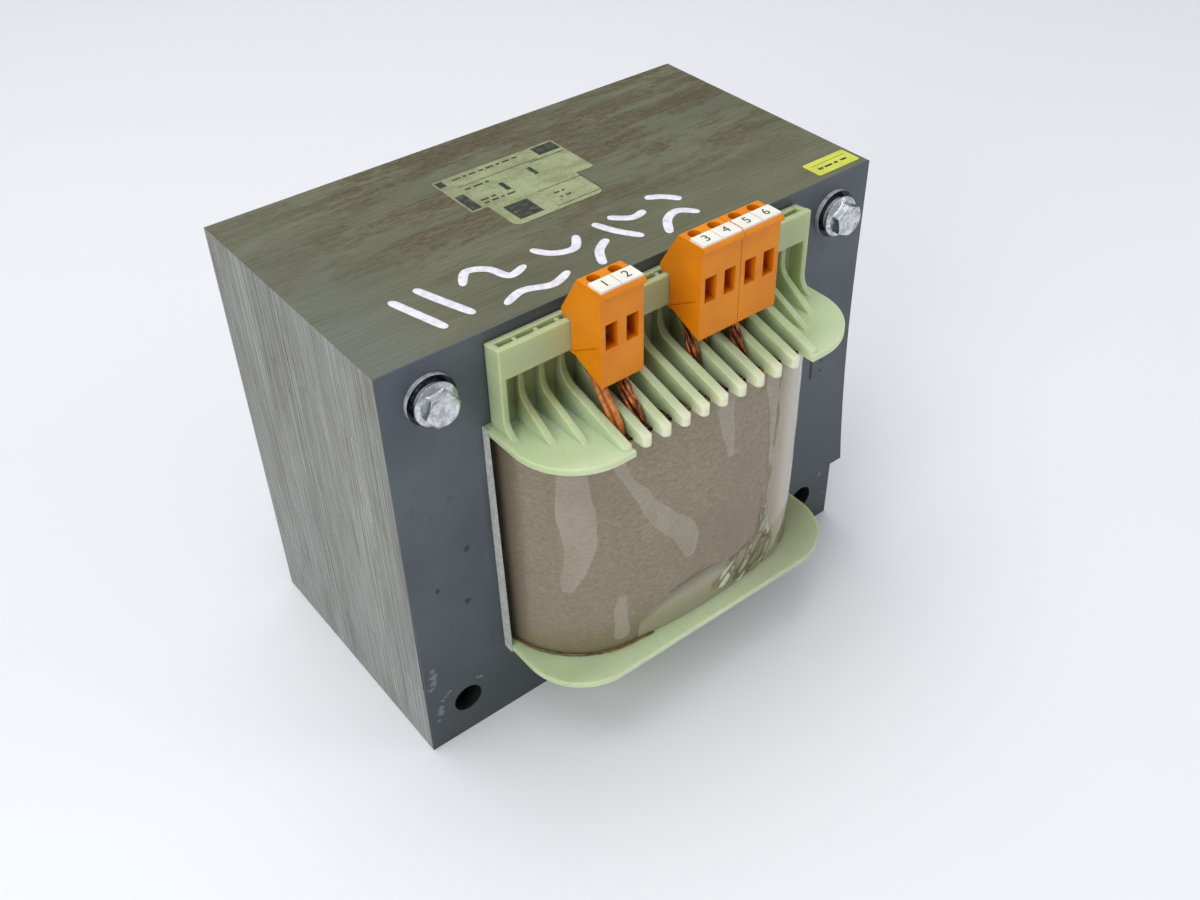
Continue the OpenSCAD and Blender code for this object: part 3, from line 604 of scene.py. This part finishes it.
def on_wrap(turn, offset):
    """The point and outward direction at the share turn of the way round the coil."""
    flat_x = film_half_x - film_corner
    flat_y = film_half_y - film_corner
    arc = film_corner * math.pi / 2
    stretches = [("front", 2 * flat_x), ("arc", arc), ("side", 2 * flat_y), ("arc", arc)]
    walk = (turn % 1) * 2 * sum(length for _, length in stretches)
    for quarter in range(8):
        kind, length = stretches[quarter % 4]
        if walk <= length:
            break
        walk -= length
    flip = -1 if quarter >= 4 else 1
    if kind == "front":
        x = walk - flat_x
        bow = film_bow * (1 - (x / flat_x) ** 2)
        slope = 2 * film_bow * x / flat_x ** 2
        point, out = Vector((x, -film_half_y - bow)), Vector((slope, -1)).normalized()
    elif kind == "side":
        point, out = Vector((film_half_x, walk - flat_y)), Vector((1, 0))
    else:
        lead = walk / film_corner
        start = -math.pi / 2 if quarter % 4 == 1 else 0
        out = Vector((math.cos(start + lead), math.sin(start + lead)))
        side = -1 if quarter % 4 == 1 else 1
        point = Vector((flat_x, side * flat_y)) + film_corner * out
    point, out = flip * point, flip * out
    return point + offset * out, out


# Pockets of air under the film, where painted reflections of the lamp on the left show: each a chain
# of (way round from the middle of the front, height, half width) in mm. There the film is lifted a
# little and painted milky as painted reflection.
pockets_and_reflections = [
    [(-49.5, 113, 5.2), (-48.5, 98, 6.3), (-48, 86, 5.8), (-50, 76, 4.3), (-52.5, 67, 2.8)],
    [(-35.5, 117, 1.8), (-31.5, 107, 2.3), (-25, 95.5, 3), (-18.5, 86, 3.8), (-11, 77, 4.8),
     (-8.5, 71, 4.4), (-7.5, 65.5, 3)],
    [(-34.6, 57.5, 2), (-34.8, 53, 3), (-34.8, 42, 3.3)],
    [(4.5, 122, 4.6), (6.5, 110, 3), (8, 99, 1.7)],
    [(27, 123, 3), (29, 100, 1.6), (29.5, 80, 0.9)],
    [(39.5, 124, 8.5), (40.5, 100, 9.6), (40.5, 78, 10.5), (39, 62, 10.5), (37, 50, 8),
     (34, 42, 4)],
    [(150, 112, 6), (154, 90, 7), (149, 70, 4), (147, 58, 1)],
    [(188, 119, 2), (196, 100, 4), (206, 86, 5), (209, 76, 2)],
    [(228, 60, 2), (226, 48, 4), (227, 40, 4)],
    [(244, 118, 4), (246, 92, 6), (243, 66, 3)],
]
# Where the end of the film is gathered and stuck down, the line it is stuck down along, and
# the sharp creases, painted dark with painted shade
gathered = [(6, 41, 3), (14, 42, 6), (21, 42, 8.5), (27, 45, 7), (28, 54, 2.5), (28, 62, 1.2)]
stuck_edge = [(-44, 34), (-30, 42), (-20, 48.5), (-15, 50), (5, 51.6), (11, 48.7), (24, 49.7),
              (28, 55), (33, 50), (42, 34)]
creases = [[(-15.2, 50, 0.7), (-9.6, 51.1, 0.9), (-3.7, 51.9, 0.9), (4.9, 51.4, 0.5)],
           [(11.1, 48.7, 0.8), (16.4, 48.6, 0.8), (23.6, 49.7, 0.5)],
           [(25.6, 76, 0.4), (27.1, 66.1, 0.7), (27.5, 57, 0.8), (25, 52.7, 0.5)],
           [(13, 47, 0.4), (11.5, 42.8, 0.7), (13.5, 38, 0.6)],
           [(20.9, 47.5, 0.5), (20.7, 37.3, 0.7), (23, 33, 0.5)],
           [(30.8, 39.5, 0.4), (28.4, 30.5, 0.9)]]


def clamped(value):
    """The value, or 0 or 1 where it is beyond them."""
    return max(0.0, min(1.0, value))


def depth_in(chain, along, z):
    """How far the place along, z in mm lies inside the outline of a chain."""
    deepest = -99.0
    for (a0, z0, w0), (a1, z1, w1) in zip(chain, chain[1:]):
        run = Vector((a1 - a0, z1 - z0))
        share = clamped(Vector((along - a0, z - z0)).dot(run) / run.length_squared)
        near = Vector((a0 + share * run.x, z0 + share * run.y))
        deepest = max(deepest, w0 + share * (w1 - w0) - (Vector((along, z)) - near).length)
    return deepest


wrap_length = 4 * (film_half_x + film_half_y - 2 * film_corner) + 2 * math.pi * film_corner
film_bmesh = bmesh.new()
layers = [film_bmesh.verts.layers.float.new(name)
          for name in ("pocket_and_reflection_depth", "stuck_down", "gathered", "facet", "crease")]
rings = []
for row in range(film_rows + 1):
    z = film_low.z + row / film_rows * (film_high.z - film_low.z)
    ring = []
    for i in range(film_points):
        turn = i / film_points
        spot, _ = on_wrap(turn, 0)
        along = (turn * wrap_length - (film_half_x - film_corner)) / MM
        seed = Vector((spot.x, spot.y, z)) / (24 * MM)
        wave = noise.noise(seed) + 0.4 * noise.noise(seed * 2.3)
        ragged = 1.3 * noise.noise(seed * 2.6) + 0.3 * noise.noise(seed * 9)
        pocket_and_reflection = max(depth_in(chain, shift, z / MM) for chain in pockets_and_reflections
                     for shift in (along, along - wrap_length / MM)) + ragged
        depth = depth_in(gathered, along, z / MM)
        creased = clamped((depth + ragged) / 2 + 0.5)
        shade, lift_facet, sharp = 0.5, 0.0, -9.0
        if -60 < along < 60:
            # Flat facets, each about 8 mm by 3, that lean to the right and meet in creases
            lean = Vector((0.55 * along + 0.83 * z / MM, -0.83 * along + 0.55 * z / MM))
            near, centres = noise.voronoi(Vector((lean.x / 9, lean.y / 3.4, 3.0)))
            shade = noise.cell(centres[0] * 9.7)
            lift_facet = (0.35 + shade) * min(1.0, (near[1] - near[0]) * 3)
            sharp = max(max(depth_in(chain, along, z / MM) for chain in creases),
                        0.55 - (near[1] - near[0]) * 4 - 2 * (1 - creased))
        lift = (0.12 * wave + 0.3 * clamped(pocket_and_reflection / 1.5) + 0.8 * creased * lift_facet
                - 0.25 * clamped(sharp))
        spot, _ = on_wrap(turn, (lift - 0.1) * MM)
        vertex = film_bmesh.verts.new((spot.x, spot.y, z))
        edge_z = 0
        for (a0, z0), (a1, z1) in zip(stuck_edge, stuck_edge[1:]):
            if a0 <= along <= a1:
                edge_z = z0 + (along - a0) / (a1 - a0) * (z1 - z0)
        under_tape = edge_z - z / MM if edge_z else -9
        for layer, value in zip(layers, (pocket_and_reflection, under_tape, creased, shade, sharp)):
            vertex[layer] = value
        ring.append(vertex)
    rings.append(ring)
for lower, upper in zip(rings, rings[1:]):
    for i in range(film_points):
        j = (i + 1) % film_points
        film_bmesh.faces.new((lower[i], lower[j], upper[j], upper[i]))
film_mesh = bpy.data.meshes.new("coil_film")
film_bmesh.to_mesh(film_mesh)
film_bmesh.free()
film = linked("coil_film", film_mesh)
for face in film_mesh.polygons:
    face.use_smooth = True

clear_film, tree, shader = new_material("clear polyester film")
xyz = axes(tree)
milky_reflection, under_edge, in_folds, crease_shade, bright_facet = (
    amount(tree, (add(tree, "ShaderNodeAttribute", attribute_name=name).outputs["Fac"], low, high))
    for name, low, high in (("pocket_and_reflection_depth", -0.3, 0.5), ("stuck_down", -2.0, 5.0),
                            ("gathered", 0.3, 0.8), ("crease", -0.1, 0.45), ("facet", 0.3, 0.75)))
# Painted light: the fold at the right end is painted palest and most opaque
fold_light_start, fold_light_end = 28 * MM, 40 * MM
# Painted reflection: pale milky colour where the film stands off the board
reflection_colour = layered(
    tree, "#b0a691", ("#c4bba9", (grain(tree, (9, 9, 16)), 0.3, 0.7)),
    ("#ddd4c0", (xyz["X"], fold_light_start, fold_light_end)))
facet_colour = layered(tree, "#8f8866", ("#cfcdae", bright_facet))
# Painted shade: the creases and the edge of the stuck-down end are painted dark
film_colour = layered(
    tree, "#8b7f68", ("#b4af90", under_edge), (reflection_colour, milky_reflection), (facet_colour, in_folds),
    ("#5d5639", crease_shade))
# Painted reflection: where it stands off the board it is painted milky, and painted light makes it
# most so in the fold at the right end
film_alpha = amount(tree, milky_reflection, (xyz["X"], fold_light_start, fold_light_end, 0.42, 0.66))
for share in (amount(tree, (in_folds, 0.0, 1.0, 0.0, 0.8)), amount(tree, crease_shade, 0.75),
              amount(tree, (under_edge, 0.0, 1.0, 0.22, 0.6))):
    film_alpha = add(tree, "ShaderNodeMath", {
        0: film_alpha, 1: share}, operation="MAXIMUM").outputs[0]
feed(tree, shader, {"Base Color": film_colour, "Alpha": film_alpha, "Roughness": 0.12, "IOR": 1.64,
                    "Coat Weight": 0.6, "Coat Roughness": 0.05})
film_mesh.materials.append(clear_film)
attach(film, "root")
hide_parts("film_wrap")


# ---- Slot liners ----
# Sheets of grey fish paper, cut and folded to stand between the coil and the outer legs. It
# is hard and matt, faintly mottled along its fibres, with a pale cut edge.

fish_paper = mottled(
    "grey slot paper", ("#a9aca7", "#c4c6c0"), 0.3, 0.7, ((3, 3, 1.2),), {"Roughness": 0.6})
dress(fish_paper, "slot_liners")


# ---- Terminal blocks ----
# Two-pole housings moulded in orange nylon, with a fine spark texture on the flats and
# edges rounded by the mould.

pole_pitch = 7.6 * MM
entry_width, entry_low, entry_top = 4.5 * MM, 153.2 * MM, 161.7 * MM
entry_margin = 0.05 * MM
blocks = ["terminal_block_left", "terminal_block_middle", "terminal_block_right"]
pole_xs = []
for block in blocks:
    block_low, block_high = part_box(block)
    middle = (block_low.x + block_high.x) / 2
    pole_xs += [middle - pole_pitch / 2, middle + pole_pitch / 2]

orange_nylon, tree, shader = new_material("orange moulded nylon")
xyz = axes(tree)
in_entry = 0.0
for pole_x in pole_xs:
    in_pole = add(tree, "ShaderNodeMath", {
        0: xyz["X"], 1: pole_x, 2: entry_width / 2 + entry_margin}, operation="COMPARE")
    in_entry = add(tree, "ShaderNodeMath", {
        0: in_entry, 1: in_pole.outputs[0]}, operation="MAXIMUM").outputs[0]
in_height = add(tree, "ShaderNodeMath", {
    0: xyz["Z"], 1: (entry_low + entry_top) / 2, 2: (entry_top - entry_low) / 2 + entry_margin},
    operation="COMPARE").outputs[0]
block_colour = layered(
    tree, "#dd7f03", ("#e68a08", (grain(tree, 12, 2), 0.3, 0.7)),
    # Painted shade: the walls of the wire entries are painted deeper orange, as they light only each
    # other
    ("#d25a0a", in_entry, in_height, (xyz["Y"], -73.4 * MM, -70.5 * MM, 0.0, 0.8)))
block_skin = add(tree, "ShaderNodeBump", {
    "Strength": 0.2, "Distance": 0.04 * MM, "Height": grain(tree, 0.5),
    "Normal": add(tree, "ShaderNodeBevel", {"Radius": 0.3 * MM}, samples=4).outputs[0]})
feed(tree, shader, {
    "Base Color": block_colour, "Roughness": 0.4, "Specular IOR Level": 0.3,
    "Subsurface Weight": 0.15, "Subsurface Radius": (1.0, 0.5, 0.1), "Subsurface Scale": 1.5 * MM,
    "Normal": block_skin.outputs[0]})
dress(orange_nylon, *blocks)


# ---- Marker tags ----
# Small white tags of moulded plastic, snapped in over each pole and numbered plainly in black
# from left to right. They are satin and slightly yellowed, and the print is a little uneven.

tag_nylon = mottled(
    "white tag plastic", ("#e9e5d6", "#f2efe4"), 0.3, 0.7, (6, 2), {"Roughness": 0.45})
dress(tag_nylon, "marker_tags")
ink = mottled(
    "black printing ink", ("#26272a", "#55565a"), 0.5, 0.8, (0.7, 2), {"Roughness": 0.6}, most=0.5)

digit_height = 3.4 * MM
tag_low, tag_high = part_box("marker_tags")
digits = []
for number, x in enumerate(pole_xs, 1):
    text = bpy.data.curves.new("digit", "FONT")
    text.body = str(number)
    text.size = digit_height * 1.35  # a digit is three quarters as high as its font's size
    text.align_x = "CENTER"
    text.align_y = "CENTER"
    text.extrude = 0.03 * MM
    holder = linked("digit", text)
    mesh = worked_out(holder)
    mesh.transform(Matrix.Translation((x, (tag_low.y + tag_high.y) / 2, tag_high.z + 0.02 * MM)))
    digits.append(mesh)
    bpy.data.objects.remove(holder)
    bpy.data.curves.remove(text)


def joined(name, meshes, material):
    """One object from several meshes, which are used up."""
    whole = bmesh.new()
    for mesh in meshes:
        whole.from_mesh(mesh)
        bpy.data.meshes.remove(mesh)
    result = bpy.data.meshes.new(name)
    whole.to_mesh(result)
    whole.free()
    result.materials.append(material)
    return linked(name, result)


tag_digits = joined("tag_digits", digits, ink)
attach(tag_digits, "root")


# ---- Bolts, clamps and bars ----
# Zinc-plated steel: two long bolts hold the stack together through its upper corners, and a
# screw and a cage clamp the wire in each pole. Tinned brass strips come out below them.

# Bright, faintly blotched plate, as from the barrel
zinc_plate, tree, shader = new_material("bright zinc plate")
xyz = axes(tree)
mottle = grain(tree, 1.8, 4, 0.7)
# The ends of the bolts behind the nuts are ribbed
thread_pitch, nut_back = 1 * MM, 58.7 * MM
thread_wave = add(tree, "ShaderNodeMath", {
    0: amount(tree, xyz["Y"], 1 / thread_pitch), 1: 0.5}, operation="PINGPONG").outputs[0]
relief = add(tree, "ShaderNodeMath", {
    0: amount(tree, thread_wave, (xyz["Y"], nut_back - 0.1 * MM, nut_back + 0.1 * MM)), 1: 3.0,
    2: amount(tree, mottle, 0.35)}, operation="MULTIPLY_ADD")
zinc_bump = add(tree, "ShaderNodeBump", {
    "Strength": 0.6, "Distance": 0.3 * MM, "Height": relief.outputs[0],
    "Normal": add(tree, "ShaderNodeBevel", {"Radius": 0.25 * MM}, samples=4).outputs[0]})
feed(tree, shader, {
    "Base Color": layered(tree, "#dfe1e3", ("#9fa4a9", (mottle, 0.35, 0.7))), "Metallic": 1.0,
    "Roughness": amount(tree, (mottle, 0.3, 0.7, 0.18, 0.42)), "Normal": zinc_bump.outputs[0]})
dress(zinc_plate, "core_bolts", "core_nuts")

# The washers are bright only on their rims: their faces are painted dark, as painted shade under the
# heads and nuts, and the spring washers are dark oxide too
shade_painted_zinc, tree, shader = new_material("zinc washers with painted shade")
xyz = axes(tree)
washer_mottle = grain(tree, 2.5, 4, 0.7)
facing = axes(tree, "Normal")
face_share = add(tree, "ShaderNodeMath", {0: facing["Y"]}, operation="ABSOLUTE").outputs[0]
shaded_face_colour = layered(
    tree, "#2a2d35", ("#666a74", (washer_mottle, 0.5, 0.7)),
    ("#8e9296", (xyz["Y"], -10 * MM, 10 * MM, 0.0, 0.7)))
washer_colour = layered(
    tree, "#dcdee0", ("#a3a7ab", (washer_mottle, 0.35, 0.7)), (shaded_face_colour, (face_share, 0.75, 0.95)))
washer_edge = add(tree, "ShaderNodeBevel", {"Radius": 0.3 * MM}, samples=4)
feed(tree, shader, {
    "Base Color": washer_colour, "Metallic": amount(tree, (face_share, 0.75, 0.95, 0.35, 0.9)),
    "Roughness": 0.25, "Normal": washer_edge.outputs[0]})
dress(shade_painted_zinc, "front_washers", "spring_washers", "rear_washers")

# Inside the blocks the plate is painted orange-brown, as painted shade and painted glow from the
# orange nylon round it; the brass is duller
glow_painted_plate = mottled(
    "zinc plate with painted glow", ("#c07a48", "#8f5c38"), 0.35, 0.7, (1.5,),
    {"Metallic": 0.3, "Roughness": 0.5})
dress(glow_painted_plate, "clamp_cages", "clamp_screws")
tinned_brass = mottled(
    "tinned brass strip", ("#c9b279", "#b7b3a4"), 0.3, 0.7, (2,),
    {"Metallic": 1.0, "Roughness": 0.35})
dress(tinned_brass, "current_bars")


# ---- Labels ----
# An aged foil label and a small yellow sticker. What is printed on them is only worn bars
# and blocks. In front of them lie a few strokes of white paint, drawn with a broad pen.

label_foil, tree, shader = new_material("aged label foil")
xyz = axes(tree)
foil_colour = layered(
    tree, "#a0a67c", ("#7f835a", (grain(tree, (11, 7, 11), 5, 0.7), 0.38, 0.66, 0.0, 0.75)),
    ("#5f5b42", (xyz["X"], -27 * MM, -12 * MM, 0.3, 0.0)),
    ("#4b4a36", (grain(tree, (1.6, 1.0, 1.6), 3, 0.7), 0.5, 0.75, 0.0, 0.6)))
feed(tree, shader, {"Base Color": foil_colour, "Roughness": 0.42})
dress(label_foil, "rating_label")
yellow_foil = mottled(
    "yellow sticker", ("#d2d653", "#c3c645"), 0.3, 0.7, (8, 2), {"Roughness": 0.5})
dress(yellow_foil, "inspection_sticker")


def printed(name, bars, z, material):
    """Thin plates lying at the height z, each (x0, y0, x1, y1) in mm."""
    thickness = 0.03 * MM
    place = Matrix.Translation((0, 0, z + thickness / 2))
    meshes = []
    for x0, y0, x1, y1 in bars:
        outline = [(x * MM, y * MM) for x, y in ((x0, y0), (x1, y0), (x1, y1), (x0, y1))]
        meshes.append(from_curve(name, [outline], thickness, place))
    return joined(name, meshes, material)


worn_ink = mottled(
    "worn label ink", ("#25281f", "#5d5d47"), 0.48, 0.7, ((3.5, 2.5, 3.5), 4, 0.7),
    {"Roughness": 0.5})
bar_height, bar_gap = 0.9, 1.1
label_bars = [
    (-25.4, 24.6, -22.6, 28.4), (13.5, 22.6, 22.4, 28.4), (-25.2, 5.6, -21.6, 16.5),
    (-9.0, 9.6, -7.2, 15.2), (4.4, 12.4, 6.0, 18.0), (-16.6, -8.6, -7.4, 1.2),
    (7.6, 20.2, 22.0, 20.6), (-20.5, 21.2, 11.5, 21.5), (-2.5, -9.4, 15.6, -9.1),
    (15.3, -9.4, 15.6, 2.4), (-2.5, 2.1, 15.6, 2.4)]
for row_y, lengths in (
        (26.2, (3.4, 1.2, 2.6, 2.0, 3.0, 1.4, 2.8, 2.2)), (18.2, (2.2, 3.6, 1.4)),
        (9.0, (3.0, 1.8)), (6.8, (1.8, 2.6, 1.2, 3.0)), (-2.4, (2.0, 1.0)), (-5.6, (1.2, 2.2))):
    bar_x = -19.5 if row_y > 0 else 1.5
    for length in lengths:
        label_bars.append((bar_x, row_y, bar_x + length, row_y + bar_height))
        bar_x += length + bar_gap
label_print = printed("label_print", label_bars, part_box("rating_label")[1].z, worn_ink)
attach(label_print, "root")

sticker_bars = [(78.2, -46.2, 80.4, -45.2), (81.2, -46.2, 84.6, -45.2), (85.6, -46.2, 87.2, -45.2),
                (88.6, -46.2, 91.4, -45.2), (77.4, -43.2, 92.6, -43.0)]
sticker_print = printed("sticker_print", sticker_bars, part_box("inspection_sticker")[1].z, worn_ink)
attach(sticker_print, "root")

white_paint, tree, shader = new_material("white marker paint")
paint_bump = add(tree, "ShaderNodeBump", {
    "Strength": 0.3, "Distance": 0.05 * MM, "Height": grain(tree, 1.5, 2)})
feed(tree, shader, {
    "Base Color": layered(tree, "#eceaf2", ("#d3d1da", (grain(tree, 2.2), 0.35, 0.7))),
    "Roughness": 0.55, "Normal": paint_bump.outputs[0]})

# Strokes swept with a round nib, narrowed at both ends and pressed flat on the steel
stroke_tree, given = new_geometry_tree("paint strokes", {
    "Width": "NodeSocketFloat", "Flatness": "NodeSocketFloat", "Height": "NodeSocketFloat",
    "Material": "NodeSocketMaterial"})
stroke_line = add(stroke_tree, "GeometryNodeMeshToCurve", {"Mesh": given["Geometry"]})
stroke_line = add(stroke_tree, "GeometryNodeResampleCurve", {
    "Curve": stroke_line.outputs[0], "Count": 90})
nib_share = add(stroke_tree, "GeometryNodeSplineParameter").outputs["Factor"]
for operation, values in (
        ("MULTIPLY_ADD", {1: 2.0, 2: -1.0}), ("ABSOLUTE", {}), ("POWER", {1: 10.0}),
        ("MULTIPLY_ADD", {1: -1.0, 2: 1.0}), ("SQRT", {})):
    nib_share = add(stroke_tree, "ShaderNodeMath", {
        0: nib_share, **values}, operation=operation).outputs[0]
nib_radius = amount(stroke_tree, given["Width"], 0.5)
nib = add(stroke_tree, "GeometryNodeCurvePrimitiveCircle", {
    "Resolution": 12, "Radius": nib_radius})
stroke_body = add(stroke_tree, "GeometryNodeCurveToMesh", {
    "Curve": stroke_line.outputs[0], "Profile Curve": nib.outputs[0], "Scale": nib_share,
    "Fill Caps": True})
lifted = add(stroke_tree, "ShaderNodeCombineXYZ", {2: given["Height"]})
flattened = add(stroke_tree, "ShaderNodeCombineXYZ", {0: 1.0, 1: 1.0, 2: given["Flatness"]})
pressed = add(stroke_tree, "GeometryNodeTransform", {
    "Geometry": stroke_body.outputs[0], "Translation": lifted.outputs[0],
    "Scale": flattened.outputs[0]})
close_tree(stroke_tree, pressed.outputs[0], given["Material"])


def smooth_line(points, steps=10):
    """Points along a smooth line through the given points."""
    line = []
    for i in range(len(points) - 1):
        before, start, end, after = (
            Vector(points[max(0, min(len(points) - 1, j))]) for j in range(i - 1, i + 3))
        for k in range(steps):
            t = k / steps
            line.append(0.5 * (2 * start + (end - before) * t
                               + (2 * before - 5 * start + 4 * end - after) * t ** 2
                               + (3 * start - before - 3 * end + after) * t ** 3))
    return line + [Vector(points[-1])]


def line_mesh(name, lines):
    """A mesh of edges only, from lists of points in mm."""
    points, edges = [], []
    for line in lines:
        edges += [(len(points) + i, len(points) + i + 1) for i in range(len(line) - 1)]
        points += [Vector(point) * MM for point in line]
    mesh = bpy.data.meshes.new(name)
    mesh.from_pydata(points, edges, [])
    return mesh


strokes = [[(-73, -22), (-70, -33), (-67, -44)], [(-64, -21), (-61, -31), (-57, -43)],
           [(-52, -29), (-47, -23), (-41, -26), (-38, -33), (-31, -31)],
           [(-48, -45), (-40, -42), (-31, -45), (-23, -42)],
           [(-25, -25), (-21, -31), (-14, -33), (-9, -27)],
           [(-13, -46), (-9, -39), (-3, -35)], [(-1, -25), (2, -33), (7, -41)],
           [(5, -25), (11, -30), (17, -29)], [(14, -45), (19, -38), (25, -36), (30, -41)],
           [(22, -23), (27, -26), (31, -31)]]
stroke_mesh = line_mesh(
    "paint_strokes", [smooth_line([(x, y, 0) for x, y in stroke]) for stroke in strokes])
paint_strokes = grown("paint_strokes", stroke_mesh, stroke_tree, {
    "Width": 3.1 * MM, "Flatness": 0.06, "Height": core_height, "Material": white_paint})
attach(paint_strokes, "root")


# ---- Leads ----
# The ends of the windings run from the lugs down between the ribs into the coil: one is a
# flat taped sleeve, the others are loose bunches of enamelled wires, twisted and varnished.

sleeving = mottled(
    "varnished tape sleeve", ("#a8541a", "#cf8038"), 0.35, 0.7, ((1.6, 0.9, 2.6),),
    {"Roughness": 0.3}, raised=(0.5, 0.2))
lead_enamel = mottled(
    "enamelled lead wire", ("#61260f", "#bd6e30"), 0.42, 0.66, ((1.8, 1.8, 3.5),),
    {"Metallic": 0.45, "Roughness": 0.28})

sweep_tree, given = new_geometry_tree("swept wires", {
    "Radius": "NodeSocketFloat", "Squash": "NodeSocketFloat", "Material": "NodeSocketMaterial"})
wire_line = add(sweep_tree, "GeometryNodeMeshToCurve", {"Mesh": given["Geometry"]})
wire_round = add(sweep_tree, "GeometryNodeCurvePrimitiveCircle", {
    "Resolution": 12, "Radius": given["Radius"]})
squashed = add(sweep_tree, "ShaderNodeCombineXYZ", {0: 1.0, 1: given["Squash"], 2: 1.0})
wire_flat = add(sweep_tree, "GeometryNodeTransform", {
    "Geometry": wire_round.outputs[0], "Scale": squashed.outputs[0]})
wire_body = add(sweep_tree, "GeometryNodeCurveToMesh", {
    "Curve": wire_line.outputs[0], "Profile Curve": wire_flat.outputs[0], "Fill Caps": True})
wire_smooth = add(sweep_tree, "GeometryNodeSetShadeSmooth", {"Geometry": wire_body.outputs[0]})
close_tree(sweep_tree, wire_smooth.outputs[0], given["Material"])

# All in mm, with the reach measured forwards from the face of the outermost sheets
rib_pitch = 7.5
lug_reach, lug_foot = 12.4, 143.2
lead_exits = [26, 25.5, 18, 13, 22, 13]
sheet_face = stack_front / MM - 0.5


def lead_line(pole):
    """The middle line of the lead of a pole, in mm: down from the lug into the nearest gap."""
    x = pole_xs[pole] / MM
    gap = rib_pitch * (math.floor(x / rib_pitch) + 0.5)
    reach = lead_exits[pole]
    route = [(x, lug_reach, lug_foot), (x, lug_reach + 0.3, lug_foot - 3),
             ((x + gap) / 2, lug_reach + (reach - lug_reach) * 0.3, 138.0),
             (gap, lug_reach + (reach - lug_reach) * 0.75, 132.8), (gap, reach, 128.1),
             (gap, reach, 125.5)]
    return smooth_line([(x, sheet_face - v, z) for x, v, z in route], 8)


def twisted(line, count, spread, turns):
    """Lines of count strands that wind round a middle line at the distance spread, in mm."""
    strands = []
    for k in range(count):
        strand = []
        for i, point in enumerate(line):
            along = (line[min(i + 1, len(line) - 1)] - line[max(i - 1, 0)]).normalized()
            side = along.cross(Vector((1, 0, 0))).normalized()
            up = side.cross(along)
            angle = 2 * math.pi * (k / count + turns * i / len(line))
            loose = spread * (1 + 0.25 * noise.noise(point / 3 + Vector((k, 0, 0))))
            strand.append(point + loose * (1.45 * math.cos(angle) * side + math.sin(angle) * up))
        strands.append(strand)
    return strands


sleeve_lines = line_mesh("taped_sleeve", twisted(lead_line(0), 2, 0.85, 0.12))
sleeve = grown("taped_sleeve", sleeve_lines, sweep_tree, {
    "Radius": 1.1 * MM, "Squash": 0.9, "Material": sleeving})
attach(sleeve, "root")
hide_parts("secondary_leads")
bunch_lines = line_mesh("secondary_bunch", twisted(lead_line(1), 6, 1.35, 0.7))
bunch = grown("secondary_bunch", bunch_lines, sweep_tree, {
    "Radius": 0.62 * MM, "Squash": 1.0, "Material": lead_enamel})
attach(bunch, "root")
primary_lines = line_mesh("primary_bunch", [
    strand for pole in range(2, 6) for strand in twisted(lead_line(pole), 5, 1.15, 0.9)])
primary_bunch = grown("primary_bunch", primary_lines, sweep_tree, {
    "Radius": 0.58 * MM, "Squash": 1.0, "Material": lead_enamel})
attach(primary_bunch, "root")
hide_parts("primary_leads")

# The last turns of the windings lie across each slot of the comb, black with varnish, and
# a few bright strands cross them.
slot_middles = [(i + 0.5) * rib_pitch for i in range(-5, 5)]
turns_height, turns_reach, turns_pitch = 125.4, 26.2, 1.3
dark_turns, bright_turns = [], []
for slot, x in enumerate(slot_middles):
    for row in range(4):
        y = sheet_face - turns_reach - turns_pitch * row
        dark_turns.append([Vector((x + dx, y - sag, turns_height + sag))
                           for dx, sag in ((-1.7, 0), (0, 0.2), (1.7, 0))])
    for strand in range(3):
        sway = noise.noise(Vector((slot * 3.7, strand * 5.1, 2)))
        y = sheet_face - turns_reach - turns_pitch * strand
        bright_turns.append([Vector((x - 1.6, y - 0.2 + sway, turns_height + 0.6)),
                             Vector((x, y - 0.7 - sway, turns_height + 0.9)),
                             Vector((x + 1.6, y - 1.2 + 0.1 * strand + sway, turns_height + 0.6))])
for name, turns, radius, finish in (("varnished_turns", dark_turns, 0.8, enamelled_wire),
                                    ("bright_turns", bright_turns, 0.25, lead_enamel)):
    across = grown(name, line_mesh(name, [smooth_line(turn, 5) for turn in turns]), sweep_tree,
                   {"Radius": radius * MM, "Squash": 1.0, "Material": finish})
    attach(across, "root")


# ---- Varnish ----
# Impregnating varnish that has run down the coil and set in beads on the lower flange: clear
# amber, glossy and lumpy.

amber_varnish = mottled(
    "set amber varnish", ("#5a4220", "#8a6a34"), 0.35, 0.65, ((3, 3, 2),),
    {"Roughness": 0.08, "Alpha": 0.7})
bead_lines = []
for low, high in ((-76, -60), (-62, -44), (-45, -30), (-33, -22), (128, 149), (145, 184),
                  (232, 251)):
    line = []
    for i in range(25):
        along = low + (high - low) * i / 24
        turn = (along * MM + film_half_x - film_corner) / wrap_length
        sway = 0.35 * noise.noise(Vector((along / 2.5, 7, 0)))
        spot, _ = on_wrap(turn, (0.35 + 0.5 * sway) * MM)
        line.append((spot.x / MM, spot.y / MM, film_low.z / MM + 0.25 + 0.4 * abs(sway)))
    bead_lines.append(line)
beads = grown("varnish_beads", line_mesh("varnish_beads", bead_lines), stroke_tree, {
    "Width": 0.9 * MM, "Flatness": 1.0, "Height": 0.0, "Material": amber_varnish})
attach(beads, "root")
